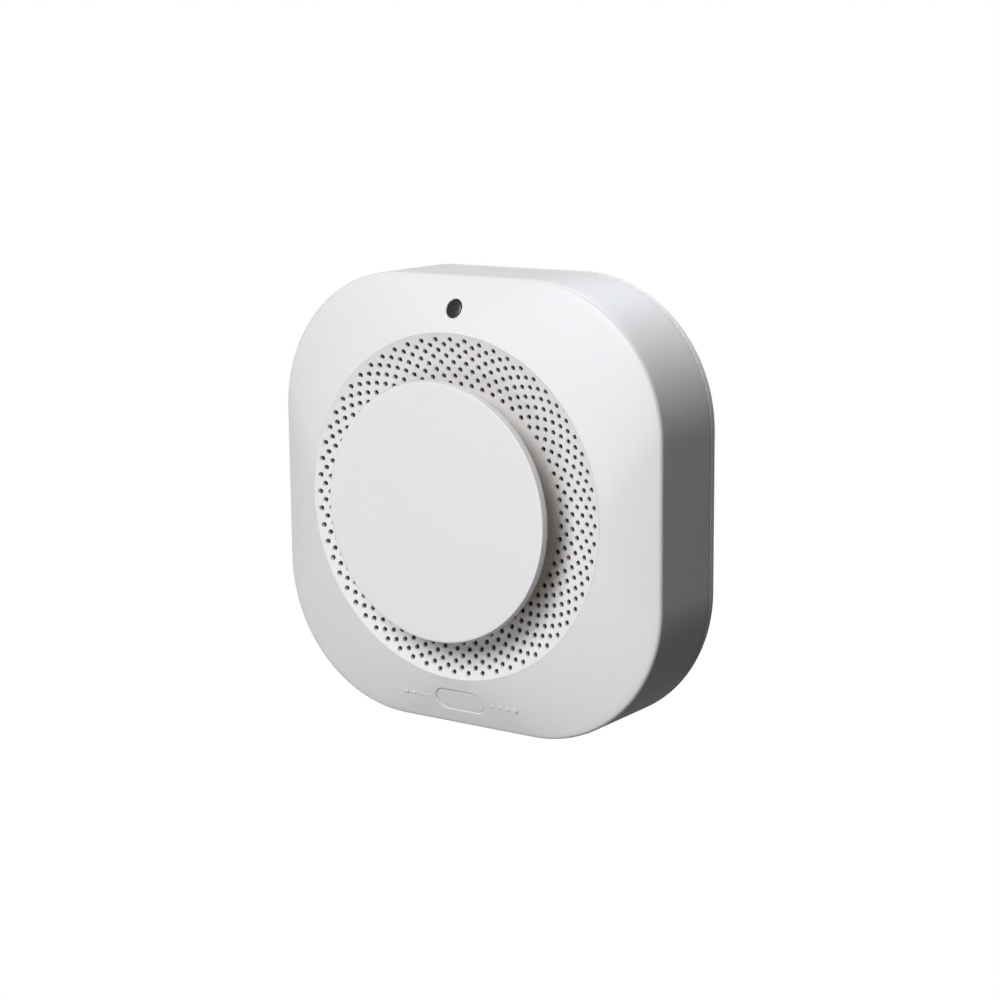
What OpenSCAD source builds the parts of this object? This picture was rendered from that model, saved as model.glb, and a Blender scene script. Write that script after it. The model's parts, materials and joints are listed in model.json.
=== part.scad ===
// Square surface-mounted smoke detector, millimetres.
// The wall is the plane y = 0, the face looks along -Y and +Z is up.
// The origin is the centre of the mounting bracket's back face.
// Modules are drawn lying on the wall (x right, y up, z out of the wall); on_wall() stands them up.

/* [Housing] */
// Width and height of the square housing
body_w = 107; // [104:0.5:112]
// Radius of the housing's four upright corners
corner_r = 34.8; // [32:0.2:36]
// Wall thickness of the front cover
wall_t = 2; // [1.6:0.1:2.4]
// Distance from the wall to the edge where side walls and face meet
face_d = 24.2; // [24.1:0.1:26]
// Rounding of that edge
edge_r = 1.2; // [0.8:0.1:1.6]
// Height of the face's crest over its edge
dome_rise = 4.8; // [4.2:0.1:5.4]
// How far the face bulges between edge and crest, as a share of its rise
dome_bulge = 0.12; // [0:0.02:0.2]
// Distance from the wall to the rear cover's back
wall_gap = 0.8; // [0.5:0.1:1.2]
// Width of the rear cover's band that shows behind the side wall
band_h = 1.5; // [1:0.1:2]
// Open seam between band and side wall
seam = 0.3; // [0.2:0.05:0.5]

/* [Sound grille] */
// Width of the domed face between the housing's side and the grille
face_w = 12.1; // [11.5:0.1:12.5]
// Radius of the dish's hollow curve
dish_curve_r = 49.8; // [46:0.2:54]
// Thickness of the dish
dish_t = 1.6; // [1.2:0.1:1.8]
// Diameter of one perforation
hole_d = 1.4; // [1:0.05:1.6]
// Number of rings of perforations
rings = 8; // [4:1:8]
// Perforations in each ring
holes_per_ring = 60; // [30:2:60]
// Distance of the outermost ring of perforations from the grille's edge
ring_in = 2.13; // [2:0.01:2.4]
// Distance between the outermost and the innermost ring
ring_span = 10.37; // [9:0.01:10.5]

/* [Smoke inlet] */
// Reach of the round cap over the innermost ring of perforations
cap_over = 1.8; // [0.5:0.1:2.5]
// Thickness of the cap
cap_t = 1.5; // [1.2:0.1:2]
// Distance from the wall to the cap's underside
cap_d = 35; // [34.8:0.1:36]
// Distance of the neck that carries the cap from the innermost ring of perforations
neck_in = 5; // [4.7:0.1:5.3]
// Wall of the neck
neck_t = 1.5; // [1.2:0.1:1.6]
// Number of air windows round the neck
windows = 24; // [16:1:28]

/* [Lens and test button] */
// Distance of the indicator lens from the grille's edge
lens_out = 4.8; // [4.4:0.1:5.2]
// Diameter of the indicator lens
lens_d = 4.5; // [4:0.1:5]
// Distance of the test button from the grille's edge
button_out = 5.4; // [5.2:0.1:5.6]
// Width of the test button
button_w = 13.3; // [12:0.1:14]
// Height of the test button
button_h = 5; // [4.6:0.1:5.2]
// Gap round the test button
button_gap = 0.2; // [0.15:0.05:0.3]
// Travel of the test button
button_travel = 0.5; // [0.3:0.05:0.6]

/* [Mounting bracket] */
// Distance of the bracket's rim from the housing's side
bracket_in = 13.5; // [13.3:0.1:14]
// Width of the bracket's ring
bracket_w = 9; // [9:0.1:10]
// Thickness of the bracket's plate
bracket_t = 1.8; // [1.5:0.1:2]
// Width of a screw slot and diameter of a screw hole
slot_w = 4.2; // [3.6:0.1:4.6]
// Length of a screw slot
slot_l = 6; // [5:0.1:6.4]
// Twist that frees the detector, in degrees
twist = 18; // [17:0.5:24]

/* [Battery] */
// Diameter of one cell
cell_d = 10.5; // [10:0.1:10.5]
// Length of one cell with its nub
cell_l = 44.5; // [43.5:0.1:44.5]
// Length left for a battery spring
spring_l = 5.6; // [5:0.1:6]
// Wall of the battery bay
bay_t = 1.4; // [1.2:0.1:1.6]
// Radius of the door's trunnions
trunnion_r = 0.6; // [0.5:0.05:0.65]
// Radial clearance of the trunnions
trunnion_fit = 0.06; // [0.03:0.01:0.1]

/* [Circuit board] */
// Gap between the circuit board and the screw bosses beside it
pcb_gap = 0.7; // [0.4:0.1:2]
// Gap between the circuit board and the side walls above and below it
pcb_end_gap = 1.3; // [1:0.1:2]
// Thickness of the circuit board
pcb_t = 1.6; // [1.2:0.1:1.6]
// Distance of the board screws from the board's sides
board_screw_in = 4; // [3.8:0.1:5]
// Distance of the housing screws from the housing's sides
case_screw_in = 14.5; // [14.3:0.05:14.7]

/* [Smoke chamber] */
// Distance of the chamber's rim from the neck's outside
chamber_in = 3.1; // [3.1:0.1:4]
// Number of places for vanes in the light labyrinth
vanes = 24; // [18:1:28]
// Angle between emitter and photodiode, in degrees
beam_angle = 135; // [120:1:150]

/* [Hidden] */

$fn = 96;
slice = 0.01;
embed = 0.4;
cut = 1;
fit = 0.15;
hole_gap = 0.2;
white = [0.93, 0.93, 0.925];
band_white = [0.95, 0.95, 0.94];
black = [0.12, 0.12, 0.13];
steel = [0.75, 0.76, 0.78];
brass = [0.85, 0.7, 0.35];
copper = [0.8, 0.45, 0.25];
board_green = [0.1, 0.4, 0.22];

// Radii and places that follow from the sizes above
grille_r = body_w / 2 - face_w;
crest_r = grille_r - 0.7;
outer_ring_r = grille_r - ring_in;
inner_ring_r = outer_ring_r - ring_span;
cap_r = inner_ring_r + cap_over;
neck_r = inner_ring_r - neck_in;
// Radius of the dish's lowest circle, just outside the neck
dish_r = neck_r + 0.6;
lens_y = grille_r + lens_out;
button_y = grille_r + button_out;
bracket_r = body_w / 2 - bracket_in;
bracket_hole_r = bracket_r - bracket_w;
screw_pitch_r = bracket_r - bracket_w / 2;
case_screw = body_w / 2 - case_screw_in;
chamber_r = neck_r - chamber_in;

// Domed face: the slope starts where the edge rounding ends
dome_steps = 5;
edge_steps = 4;
edge_turn = 63;
corner_steps = 20;
inner_flat = 0.05;
ceiling_extra = 0.1;
edge_in = edge_r * (1 - cos(edge_turn));
face_half = body_w / 2 - edge_in;
face_r = corner_r - edge_in;
crest_d = face_d + dome_rise;
// The sloping face is drawn a little past the grille's bore, which cuts it
crest_in_r = grille_r - 0.5;

// Sound grille
dish_d = crest_d + 0.3 - pow(crest_r - dish_r, 2) / 2 / dish_curve_r;
flange_top = crest_d - 3.6;
flange_t = 1.2;
flange_w = 2;
grille_edge = grille_r - fit / 3;
flange_in = 3;
upstand_t = 1.6;
crest_round = 0.7;
crest_sink = 0.4;
collar_w = 3.2;
collar_drop = 1.6;
// Rings stand closer together towards the outside
ring_ease = 0.2;

// Neck, windows and cap
neck_d = dish_d - dish_t;
window_low = dish_d + 1;
window_high = cap_d - 2;
window_w = 360 / windows * 0.7;
cap_edge = 0.4;
spigot_t = 1;
spigot_l = 1.4;
hook_w = 4;
hook_h = 1;
hook_drop = 1.2;
hook_reach = 0.9;

// Mounting bracket and bayonet: tabs and ledges clear each other within the twist
tab_a = twist / 2 - 1;
hook_a = tab_a - 1;
collar_a = tab_a + 2;
tab_collar_t = 1.4;
ledge_reach = 1;
stop_a = 3;
tab_low = 3.6;
tab_high = 4.6;
ledge_low = 2.2;
ledge_high = 3.4;
bayonets = 4;
collar_r = bracket_r - 0.4;
tab_reach = 1.9;
recess_gap = 0.5;
recess_r = collar_r + tab_reach + recess_gap;
recess_wall = 1.6;
rim_h = 1.2;

// Rear cover
recess_d = 5;
floor_t = 1.6;
door_d = 0.2;
door_t = floor_t - door_d;
back_t = 2;
spigot_h = 4.5;
spigot_wall = 1.6;
rib_t = 1.2;
rib_a = 22.5;
join_d = 10;

// Battery bay, cells along x
cell_gap = 0.3;
cell_pitch = cell_d + 1;
plate_t = 0.4;
bay_l = cell_l + spring_l + 2 * plate_t;
bay_w = cell_pitch + cell_d + 2 * cell_gap;
door_seat = recess_d + floor_t;
cell_z = door_seat + cell_gap + cell_d / 2;
bay_top = cell_z + cell_d / 2 + cell_gap;
bay_roof = 0.9;
door_l = bay_l - 0.4;
door_w = bay_w + 1.4;
door_gap = 0.2;
pivot_y = door_w / 2 - door_t / 2;
pivot_z = door_seat - door_t / 2;
trunnion_l = 1.7;
trunnion_end = 0.3;
lug_l = 3;
lug_w = 4;
tail_w = 3;
tail_gap = 0.5;
cell_rest_h = 1;
latch_w = 10;
latch_l = 7;
slit = 0.6;
contact_w = 9;
spring_wire = 0.7;
spring_turns = 3;
spring_big_r = 3.6;
spring_small_r = 2.4;
spring_sides = 6;
spring_steps = 42;
cell_edge = 0.5;
nub_l = 0.9;
nub_r = 1.9;

// Circuit board and what stands on it
pcb_z = bay_top + bay_roof + 0.1;
pcb_top = pcb_z + pcb_t;
case_tube_r = 3.3;
pcb_w = 2 * (case_screw - case_tube_r - pcb_gap);
pcb_h = body_w - 2 * (wall_t + pcb_end_gap);
pcb_corner = 16;
board_screw_x = pcb_w / 2 - board_screw_in;
board_screw_y = pcb_h / 2 - pcb_corner + 1.8;
post_r = 2.5;
screw_r = 1;
head_r = 2;
head_h = 1.3;
head_taper = 0.8;
cross_w = 0.5;
case_screw_r = 1.25;
case_head_r = 2.2;
case_head_h = 1.6;
case_seat = wall_gap + back_t + 1;
case_screw_l = 12;
case_thread_l = 7;
board_thread_l = 6;
board_hole_l = 8;
thread_fit = 0.05;
peg_r = 0.9;
peg_ring = chamber_r - 4.8;
pegs = 3;
peg_a = 30;
peg_gap = 0.1;
chip_w = 7;
chip_h = 1.2;
chip_gap = 0.1;
lead_l = 1.1;
lead_w = 0.3;
lead_in = 0.2;
chip_x = -neck_r - 1.1;
chip_y = -neck_r - 0.1;
lead_pitch = 0.8;
leads = 7;
coil_r = 3.9;
coil_h = 3.8;
coil_flange = 0.8;
core_r = 1.75;
winding_r = 3.5;
coil_x = -neck_r - 0.6;
coil_y = neck_r + 0.6;
can_r = 3.15;
can_h = 5.4;
can_y = neck_r + 0.1;
can_base = 0.8;
can_bead = 1.7;
bead_r = 0.3;
can_edge = 0.4;

// Test button and tact switch
switch_w = 6;
switch_h = 2.5;
plunger_r = 1.65;
plunger_fit = 0.08;
plunger_up = 1.2;
plunger_down = 0.8;
plunger_room = 0.1;
plunger_top = pcb_top + switch_h + plunger_up;
stem_r = 1.5;
stem_l = 1;
stem_room = 0.5;
pad_l = 0.8;
pad_w = 0.7;
pad_t = 0.2;
pad_y = 2.25;
leg_d = plunger_top - 1.1;
leg_in = 4.6;
ear_t = 0.8;
ear_w = 2.4;
ear_reach = 1.4;
guide_d = leg_d + ear_t + 0.1;
guide_t = 1.2;

// Indicator lens
lens_gap = 0.05;
lens_proud = 0.25;
lens_curve = 12;
lens_flange_d = flange_top - 3.3;
lens_flange_t = 1;
lens_flange_r = 3.1;
lens_boss_r = 3.6;
pipe_r = 1.3;
led_h = 0.9;
led_w = 2;
led_l = 1.6;

// Smoke chamber
base_t = 1.6;
vane_low = pcb_top + base_t;
cover_top = cap_d - 0.8;
cover_t = 1.2;
vane_r = chamber_r - 2.8;
vane_l = 4.4;
vane_t = 0.8;
vane_turn = 48;
vane_bend = 95;
vane_return = 2;
lamp_clear = 19;
beam_z = vane_low + 4.1;
emitter_a = 90 + (360 - beam_angle) / 2;
diode_a = emitter_a + beam_angle;
cradle_w = 6;
cradle_low_r = chamber_r - 10.3;
cradle_high_r = chamber_r - 1.8;
cradle_h = 6.6;
lamp_r = 1.5;
lamp_gap = 0.1;
lamp_low_r = chamber_r - 8.8;
lamp_high_r = chamber_r - 4.4;
leg_slot = 4.2;
leg_pitch = 1.27;
leg_w = 0.5;
screen_gap = 0.2;
screen_t = 0.25;
screen_cols = 40;
screen_rows = 5;
screen_bar = 0.9;
gasket_gap = 0.25;

// Sounder under the perforations
sounder_r = 10;
sounder_h = 3.6;
sounder_wall = 0.9;
sounder_ring = neck_r + sounder_r + 0.5;
sounder_a = -45;
sounder_port_r = 1.5;
sounder_lip = 0.9;
sounder_top = 0.8;
disc_r = sounder_r - sounder_wall - hole_gap;
disc_seat = pcb_top + 1.1;
brass_t = 0.2;
ceramic_t = 0.2;
ceramic_r = 6.5;
contact_r = 0.6;

// Stands the drawing up against the wall
module on_wall() {
  rotate([90, 0, 0])
    children();
}

// Square with exact round corners, centred
module round_square(half_x, half_y, r) {
  square([2 * half_x, 2 * (half_y - r)], center = true);
  square([2 * (half_x - r), 2 * half_y], center = true);
  for (x = [-1, 1])
    for (y = [-1, 1])
      translate([x * (half_x - r), y * (half_y - r)])
        circle(r = r);
}

module round_block(half_x, half_y, r, low, high) {
  translate([0, 0, low])
    linear_extrude(high - low)
      round_square(half_x, half_y, r);
}

module tube(r_out, r_in, low, high) {
  difference() {
    translate([0, 0, low])
      cylinder(r = r_out, h = high - low);
    translate([0, 0, low - cut])
      cylinder(r = r_in, h = high - low + 2 * cut);
  }
}

module disc(r, low, high) {
  translate([0, 0, low])
    cylinder(r = r, h = high - low);
}

// Piece of a ring, spanning plus and minus a degrees about the angle
module arc_block(r_in, r_out, a, angle, low, high) {
  rotate(angle - a)
    rotate_extrude(angle = 2 * a)
      translate([r_in, low])
        square([r_out - r_in, high - low]);
}

// Pill shape lying along x
module pill(w, h, low, high) {
  for (x = [-1, 1])
    translate([x * (w - h) / 2, 0, low])
      cylinder(d = h, h = high - low);
  translate([-(w - h) / 2, -h / 2, low])
    cube([w - h, h, high - low]);
}

// Height of the face over the wall, at a share of the way from crest (0) to edge (1)
function dome_z(t) = face_d + dome_rise * (1 - t) * (1 + dome_bulge * t);
// The same, straight up or down from the centre
function face_z(y) = dome_z((y - crest_in_r) / (face_half - crest_in_r));
function face_tilt(y) = atan((face_z(y - cut) - face_z(y + cut)) / 2 / cut);

// Radius of one ring of perforations, counted from the outside
function ring_r(k) =
  let (s = k / (rings - 1))
  outer_ring_r - ring_span * (s + ring_ease * s * (s - 1));

// Rounded-square outline at height z, going round anticlockwise
function outline(half, r, z) =
  [for (c = [0:3]) for (i = [0:corner_steps])
    let (m = 45 + 90 * c)
    let (a = 90 * (c + i / corner_steps))
    [(half - r) * sign(cos(m)) + r * cos(a), (half - r) * sign(sin(m)) + r * sin(a), z]];

// Solid lofted through outlines [half width, corner radius, height], lowest first
module loft(sections) {
  n = 4 * (corner_steps + 1);
  last = len(sections) - 1;
  points = [for (s = sections) each outline(s[0], s[1], s[2])];
  walls = [for (k = [0:last - 1]) for (i = [0:n - 1])
    let (j = (i + 1) % n)
    each [[k * n + i, (k + 1) * n + i, (k + 1) * n + j], [k * n + i, (k + 1) * n + j, k * n + j]]];
  low = [for (i = [0:n - 1]) i];
  high = [for (i = [n - 1:-1:0]) last * n + i];
  polyhedron(points, concat(walls, [low, high]));
}

// Outline of the face at a share of the way from crest (0) to edge (1), sunk by depth
function face_section(t, inset, depth) =
  let (half = crest_in_r + (face_half - inset - crest_in_r) * t)
  [half, min(half - inner_flat, crest_in_r + (face_r - inset - crest_in_r) * t), dome_z(t) - depth];

function edge_section(a) =
  let (back = edge_r * (1 - cos(a)))
  [body_w / 2 - back, corner_r - back, face_d - edge_r * (sin(edge_turn) - sin(a))];

// Outer skin of the front cover, from the seam to just inside the crest
module face_skin() {
  loft(concat(
    [[body_w / 2, corner_r, wall_gap + band_h + seam]],
    [for (k = [0:edge_steps - 1]) edge_section(edge_turn * k / edge_steps)],
    [for (k = [dome_steps:-1:-1]) face_section(k / dome_steps, 0, 0)]
  ));
}

// Hollow of the front cover
module face_hollow() {
  inset = wall_t - edge_in;
  loft(concat(
    [[body_w / 2 - wall_t, corner_r - wall_t, wall_gap]],
    [for (k = [2:-1:-1]) face_section(k / 2, inset, wall_t + ceiling_extra)]
  ));
}

module front_cover() {
  color(white)
    on_wall()
      difference() {
        union() {
          difference() {
            face_skin();
            face_hollow();
          }
          tube(grille_r + collar_w, grille_r - cut, flange_top, crest_d - collar_drop);
          below_face(lens_y, 1)
            disc(lens_boss_r, lens_flange_d + lens_flange_t, crest_d);
          below_face(button_y, -1)
            pill(button_w + 2 * guide_t, button_h + 2 * guide_t, guide_d, crest_d);
          corner_bosses();
        }
        disc(grille_r, wall_gap, crest_d + cut);
        tube(grille_r + flange_w + hole_gap, grille_r - cut, wall_gap, flange_top);
        translate([0, lens_y, 0])
          disc(lens_d / 2 + lens_gap, wall_gap, crest_d + cut);
        translate([0, -button_y, 0])
          pill(button_w + 2 * button_gap, button_h + 2 * button_gap, wall_gap, crest_d + cut);
      }
}

// A boss at a distance up (side 1) or down (side -1), ended inside the sloping face's wall
module below_face(y, side) {
  translate([0, side * y, 0])
    difference() {
      children();
      translate([0, 0, face_z(y) - wall_t / 2])
        rotate([-side * face_tilt(y), 0, 0])
          translate([-body_w / 4, -body_w / 4, 0])
            cube([body_w / 2, body_w / 2, body_w / 4]);
    }
}

// Screw bosses in the front cover's corners, each tied to the wall by a rib
module corner_bosses() {
  top = face_d - wall_t / 2;
  for (k = [0:3])
    rotate(45 + 90 * k)
      translate([case_screw * sqrt(2), 0, 0])
        difference() {
          union() {
            disc(case_tube_r, join_d, top);
            translate([0, -rib_t / 2, join_d])
              cube([case_tube_r + wall_t / 2, rib_t, top - join_d]);
          }
          disc(case_screw_r + thread_fit, join_d - cut, join_d + case_thread_l);
        }
}

// Dish profile: crest, hollow curve and the step that lies behind the face
module dish_profile() {
  low = flange_top - flange_t;
  difference() {
    union() {
      translate([neck_r - neck_t, neck_d])
        square([grille_edge - neck_r + neck_t, crest_d - neck_d]);
      translate([crest_r, crest_d - crest_sink])
        circle(r = crest_round);
      translate([grille_edge - flange_in, low])
        square([flange_in + flange_w, flange_t]);
      translate([grille_edge - upstand_t, low])
        square([upstand_t, crest_d - low]);
    }
    translate([dish_r, dish_d + dish_curve_r])
      circle(r = dish_curve_r, $fn = 360);
    translate([neck_r - neck_t - cut, neck_d - dish_curve_r])
      difference() {
        square([grille_edge - upstand_t - neck_r + neck_t + cut, 2 * dish_curve_r]);
        translate([dish_r - neck_r + neck_t + cut, 2 * dish_curve_r])
          circle(r = dish_curve_r + dish_t, $fn = 360);
        translate([dish_r - neck_r + neck_t + cut - flange_in, dish_curve_r])
          square([flange_in, dish_curve_r]);
      }
    translate([grille_edge, flange_top])
      square([cut, crest_d]);
  }
}

module sound_grille() {
  color(white)
    on_wall()
      difference() {
        union() {
          rotate_extrude()
            dish_profile();
          tube(neck_r, neck_r - neck_t, neck_d, cap_d);
        }
        for (k = [0:rings - 1])
          for (i = [0:holes_per_ring - 1])
            rotate((i + (k % 2) / 2) * 360 / holes_per_ring)
              translate([ring_r(k), 0, neck_d - cut])
                cylinder(d = hole_d, h = crest_d - neck_d + 2 * cut, $fn = 24);
        for (i = [0:windows - 1])
          rotate((i + 0.5) * 360 / windows)
            translate([neck_r - neck_t - cut, 0, window_low])
              window_cut();
      }
}

module window_cut() {
  w = 2 * (neck_r - neck_t) * sin(window_w / 2);
  translate([0, -w / 2, 0])
    cube([neck_t + 2 * cut, w, window_high - window_low]);
}

module smoke_cap() {
  spigot_r = neck_r - neck_t - fit;
  color(white)
    on_wall() {
      rotate_extrude()
        union() {
          translate([0, cap_d])
            square([cap_r - cap_edge, cap_t]);
          translate([0, cap_d + cap_edge])
            square([cap_r, cap_t - 2 * cap_edge]);
          for (z = [cap_d + cap_edge, cap_d + cap_t - cap_edge])
            translate([cap_r - cap_edge, z])
              circle(r = cap_edge, $fn = 32);
        }
      tube(spigot_r, spigot_r - spigot_t, cap_d - spigot_l, cap_d + cap_edge);
      for (k = [0:2])
        rotate((k * windows / 3 + 0.5) * 360 / windows)
          cap_hook(spigot_r);
    }
}

// Snap hook that catches under the neck's top ring, inside one window
module cap_hook(r) {
  translate([r - spigot_t, -hook_w / 2, window_high - hook_drop])
    cube([spigot_t - hole_gap, hook_w, cap_d - window_high + hook_drop]);
  translate([r - spigot_t, -hook_w / 2, window_high - hook_drop])
    cube([spigot_t + hook_reach, hook_w, hook_h]);
}

module indicator_lens() {
  tilt = face_tilt(lens_y);
  color(black)
    on_wall()
      translate([0, lens_y, 0]) {
        intersection() {
          disc(lens_d / 2, lens_flange_d, crest_d);
          translate([0, 0, face_z(lens_y)])
            rotate([-tilt, 0, 0])
              translate([0, 0, lens_proud - lens_curve])
                sphere(r = lens_curve);
        }
        disc(lens_flange_r, lens_flange_d, lens_flange_d + lens_flange_t);
        disc(pipe_r, pcb_top + led_h + fit, lens_flange_d);
      }
}

module status_led() {
  color("white")
    on_wall()
      translate([-led_w / 2, lens_y - led_l / 2, pcb_top])
        cube([led_w, led_l, led_h]);
}

module test_button() {
  tilt = face_tilt(button_y);
  color(white)
    on_wall()
      translate([0, -button_y, 0]) {
        difference() {
          pill(button_w, button_h, leg_d, crest_d);
          translate([0, 0, face_z(button_y)])
            rotate([tilt, 0, 0])
              translate([-button_w, -button_w, 0])
                cube([2 * button_w, 2 * button_w, 3 * dome_rise]);
          translate([-leg_in, -button_h, leg_d - cut])
            cube([2 * leg_in, 2 * button_h, cut + plunger_top - leg_d + stem_room]);
        }
        disc(stem_r, plunger_top, plunger_top + stem_l);
        for (s = [-1, 1])
          translate([s * button_w / 2 - (s > 0 ? cut : ear_reach), -ear_w / 2, leg_d])
            cube([ear_reach + cut, ear_w, ear_t]);
      }
}

module switch_body() {
  color(black)
    on_wall()
      translate([0, -button_y, 0]) {
        difference() {
          translate([-switch_w / 2, -switch_w / 2, pcb_top])
            cube([switch_w, switch_w, switch_h]);
          disc(plunger_r + plunger_fit,
            pcb_top + switch_h - plunger_down - button_travel - plunger_room,
            pcb_top + switch_h + cut);
        }
        for (x = [-1, 1])
          for (y = [-1, 1])
            translate([x * (switch_w + pad_l) / 2 - pad_l / 2, y * pad_y - pad_w / 2, pcb_top])
              cube([pad_l, pad_w, pad_t]);
      }
}

module switch_plunger() {
  color("ivory")
    on_wall()
      translate([0, -button_y, 0])
        disc(plunger_r, pcb_top + switch_h - plunger_down, plunger_top);
}

module mounting_bracket() {
  color(white)
    on_wall()
      difference() {
        union() {
          tube(bracket_r, bracket_hole_r, 0, bracket_t);
          tube(bracket_hole_r + rim_h, bracket_hole_r, 0, bracket_t + rim_h);
          for (k = [0:bayonets - 1])
            bayonet_tab(45 + 360 / bayonets * k);
        }
        for (x = [-1, 1])
          translate([x * screw_pitch_r, 0, 0])
            pill(slot_l, slot_w, -cut, bracket_t + cut);
        for (y = [-1, 1])
          translate([0, y * screw_pitch_r, 0])
            disc(slot_w / 2, -cut, bracket_t + cut);
      }
}

// Collar, outward tab and end stop of one bayonet
module bayonet_tab(angle) {
  arc_block(collar_r - tab_collar_t, collar_r, collar_a, angle, bracket_t - embed, tab_high - embed);
  arc_block(collar_r - 2 * embed, collar_r + tab_reach, tab_a, angle, tab_low, tab_high);
  arc_block(collar_r - embed, collar_r + tab_reach - embed, stop_a / 2, angle - tab_a - stop_a / 4,
    ledge_low, tab_low + embed);
}

module rear_cover() {
  half = body_w / 2;
  lip = half - wall_t - fit;
  color(band_white)
    on_wall() {
      difference() {
        union() {
          round_block(half, half, corner_r, wall_gap, wall_gap + band_h);
          round_block(lip, lip, corner_r - wall_t - fit, wall_gap, wall_gap + back_t);
          difference() {
            round_block(lip, lip, corner_r - wall_t - fit, wall_gap, wall_gap + band_h + spigot_h);
            round_block(lip - spigot_wall, lip - spigot_wall, corner_r - wall_t - fit - spigot_wall,
              0, 2 * (band_h + spigot_h));
          }
          disc(recess_r + recess_wall, wall_gap, door_seat);
          battery_bay_block();
          back_ribs();
          for (x = [-1, 1])
            for (y = [-1, 1]) {
              translate([x * case_screw, y * case_screw, 0])
                disc(case_tube_r, wall_gap, join_d);
              translate([x * board_screw_x, y * board_screw_y, 0])
                disc(post_r, wall_gap, pcb_z);
            }
        }
        disc(recess_r, -cut, recess_d);
        battery_bay_cut();
        for (x = [-1, 1])
          for (y = [-1, 1]) {
            translate([x * case_screw, y * case_screw, 0])
              screw_hole();
            translate([x * board_screw_x, y * board_screw_y, 0])
              disc(screw_r + thread_fit, pcb_z - board_hole_l, pcb_z + cut);
          }
      }
      for (k = [0:bayonets - 1])
        arc_block(recess_r - recess_gap - ledge_reach, recess_r + slice, hook_a, 45 + 360 / bayonets * k,
          ledge_low, ledge_high);
    }
}

// Counterbored hole for a housing screw
module screw_hole() {
  disc(case_head_r + hole_gap, -cut, case_seat);
  disc(case_screw_r + fit, -cut, join_d + cut);
}

// Stiffening ribs between the recess and the corner tubes
module back_ribs() {
  for (k = [0:7])
    rotate(rib_a + 45 * k)
      translate([recess_r, -rib_t / 2, wall_gap])
        cube([body_w / 2 - recess_r - wall_t - fit, rib_t, recess_d]);
}

module battery_bay_block() {
  w = bay_w + 2 * bay_t;
  l = bay_l + 2 * bay_t;
  translate([-l / 2, -w / 2, recess_d])
    cube([l, w, bay_top + bay_roof - recess_d]);
  for (s = [-1, 1])
    translate([s * (bay_l / 2 + bay_t) - lug_l / 2, pivot_y - lug_w / 2, recess_d])
      cube([lug_l, lug_w, floor_t + 1]);
}

module battery_bay_cut() {
  translate([-bay_l / 2, -bay_w / 2, recess_d - cut])
    cube([bay_l, bay_w, bay_top - recess_d + cut]);
  // Door opening, wider than the bay so that the door has a seat
  translate([-bay_l / 2, -door_w / 2 - door_gap, recess_d - cut])
    cube([bay_l, door_w + 2 * door_gap, floor_t + cut]);
  for (s = [-1, 1])
    translate([s * (door_l / 2 - cut), pivot_y, pivot_z])
      rotate([0, s * 90, 0])
        cylinder(r = trunnion_r + trunnion_fit, h = cut + trunnion_l + trunnion_end);
  // Slots for the terminals' tails
  for (s = [-1, 1])
    for (y = [-1, 1])
      translate([s * (bay_l / 2 - plate_t), y * cell_pitch / 2, bay_top + bay_roof / 2])
        cube([2 * tail_gap, tail_w + 2 * tail_gap, bay_roof + 2 * cut], center = true);
}

module battery_door() {
  color(white)
    on_wall() {
      difference() {
        union() {
          translate([-door_l / 2, -door_w / 2, door_seat - door_t])
            cube([door_l, door_w - door_t / 2, door_t]);
          translate([-door_l / 2, pivot_y, pivot_z])
            rotate([0, 90, 0])
              cylinder(d = door_t, h = door_l);
        }
        for (s = [-1, 1])
          translate([s * latch_w / 2 - slit / 2, -door_w / 2 - cut, 0])
            cube([slit, latch_l + cut, 2 * door_seat]);
      }
      translate([-door_l / 2 - trunnion_l, pivot_y, pivot_z])
        rotate([0, 90, 0])
          cylinder(r = trunnion_r, h = door_l + 2 * trunnion_l);
      // Cell rests inside
      for (x = [-1, 1])
        translate([x * door_l / 4 - rib_t / 2, -cell_pitch / 4, door_seat - slice])
          cube([rib_t, cell_pitch / 2, cell_rest_h + slice]);
    }
}

// One cell along x, its nub towards +x
module cell() {
  r = cell_d / 2;
  shoulder = cell_l - nub_l;
  rotate([0, 90, 0])
    rotate_extrude()
      polygon([
        [0, 0], [r - cell_edge, 0], [r, cell_edge], [r, shoulder - cell_edge],
        [r - cell_edge, shoulder], [nub_r, shoulder], [nub_r, cell_l], [0, cell_l]
      ]);
}

module battery_cells() {
  color([0.25, 0.27, 0.3])
    on_wall()
      for (s = [-1, 1])
        translate([0, s * cell_pitch / 2, cell_z])
          turn_second(s)
            translate([-bay_l / 2 + plate_t + spring_l, 0, 0])
              cell();
}

// Turns every second cell the other way
module turn_second(s) {
  rotate([0, 0, s > 0 ? 0 : 180])
    children();
}

// Conical spring along +x, a swept wire: step i along it, corner j round the wire
function wire_point(i, j) =
  let (s = i / spring_steps)
  let (a = 360 * spring_turns * s)
  let (b = 360 * j / spring_sides)
  let (r = spring_big_r + (spring_small_r - spring_big_r) * s + spring_wire / 2 * cos(b))
  [spring_wire / 2 + (spring_l - spring_wire) * s + spring_wire / 2 * sin(b), r * cos(a), r * sin(a)];

module battery_spring() {
  n = spring_sides;
  points = [for (i = [0:spring_steps]) for (j = [0:n - 1]) wire_point(i, j)];
  walls = [for (i = [0:spring_steps - 1]) for (j = [0:n - 1])
    let (k = (j + 1) % n)
    [i * n + j, i * n + k, (i + 1) * n + k, (i + 1) * n + j]];
  ends = [[for (j = [n - 1:-1:0]) j], [for (j = [0:n - 1]) spring_steps * n + j]];
  polyhedron(points, concat(walls, ends));
}

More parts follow.
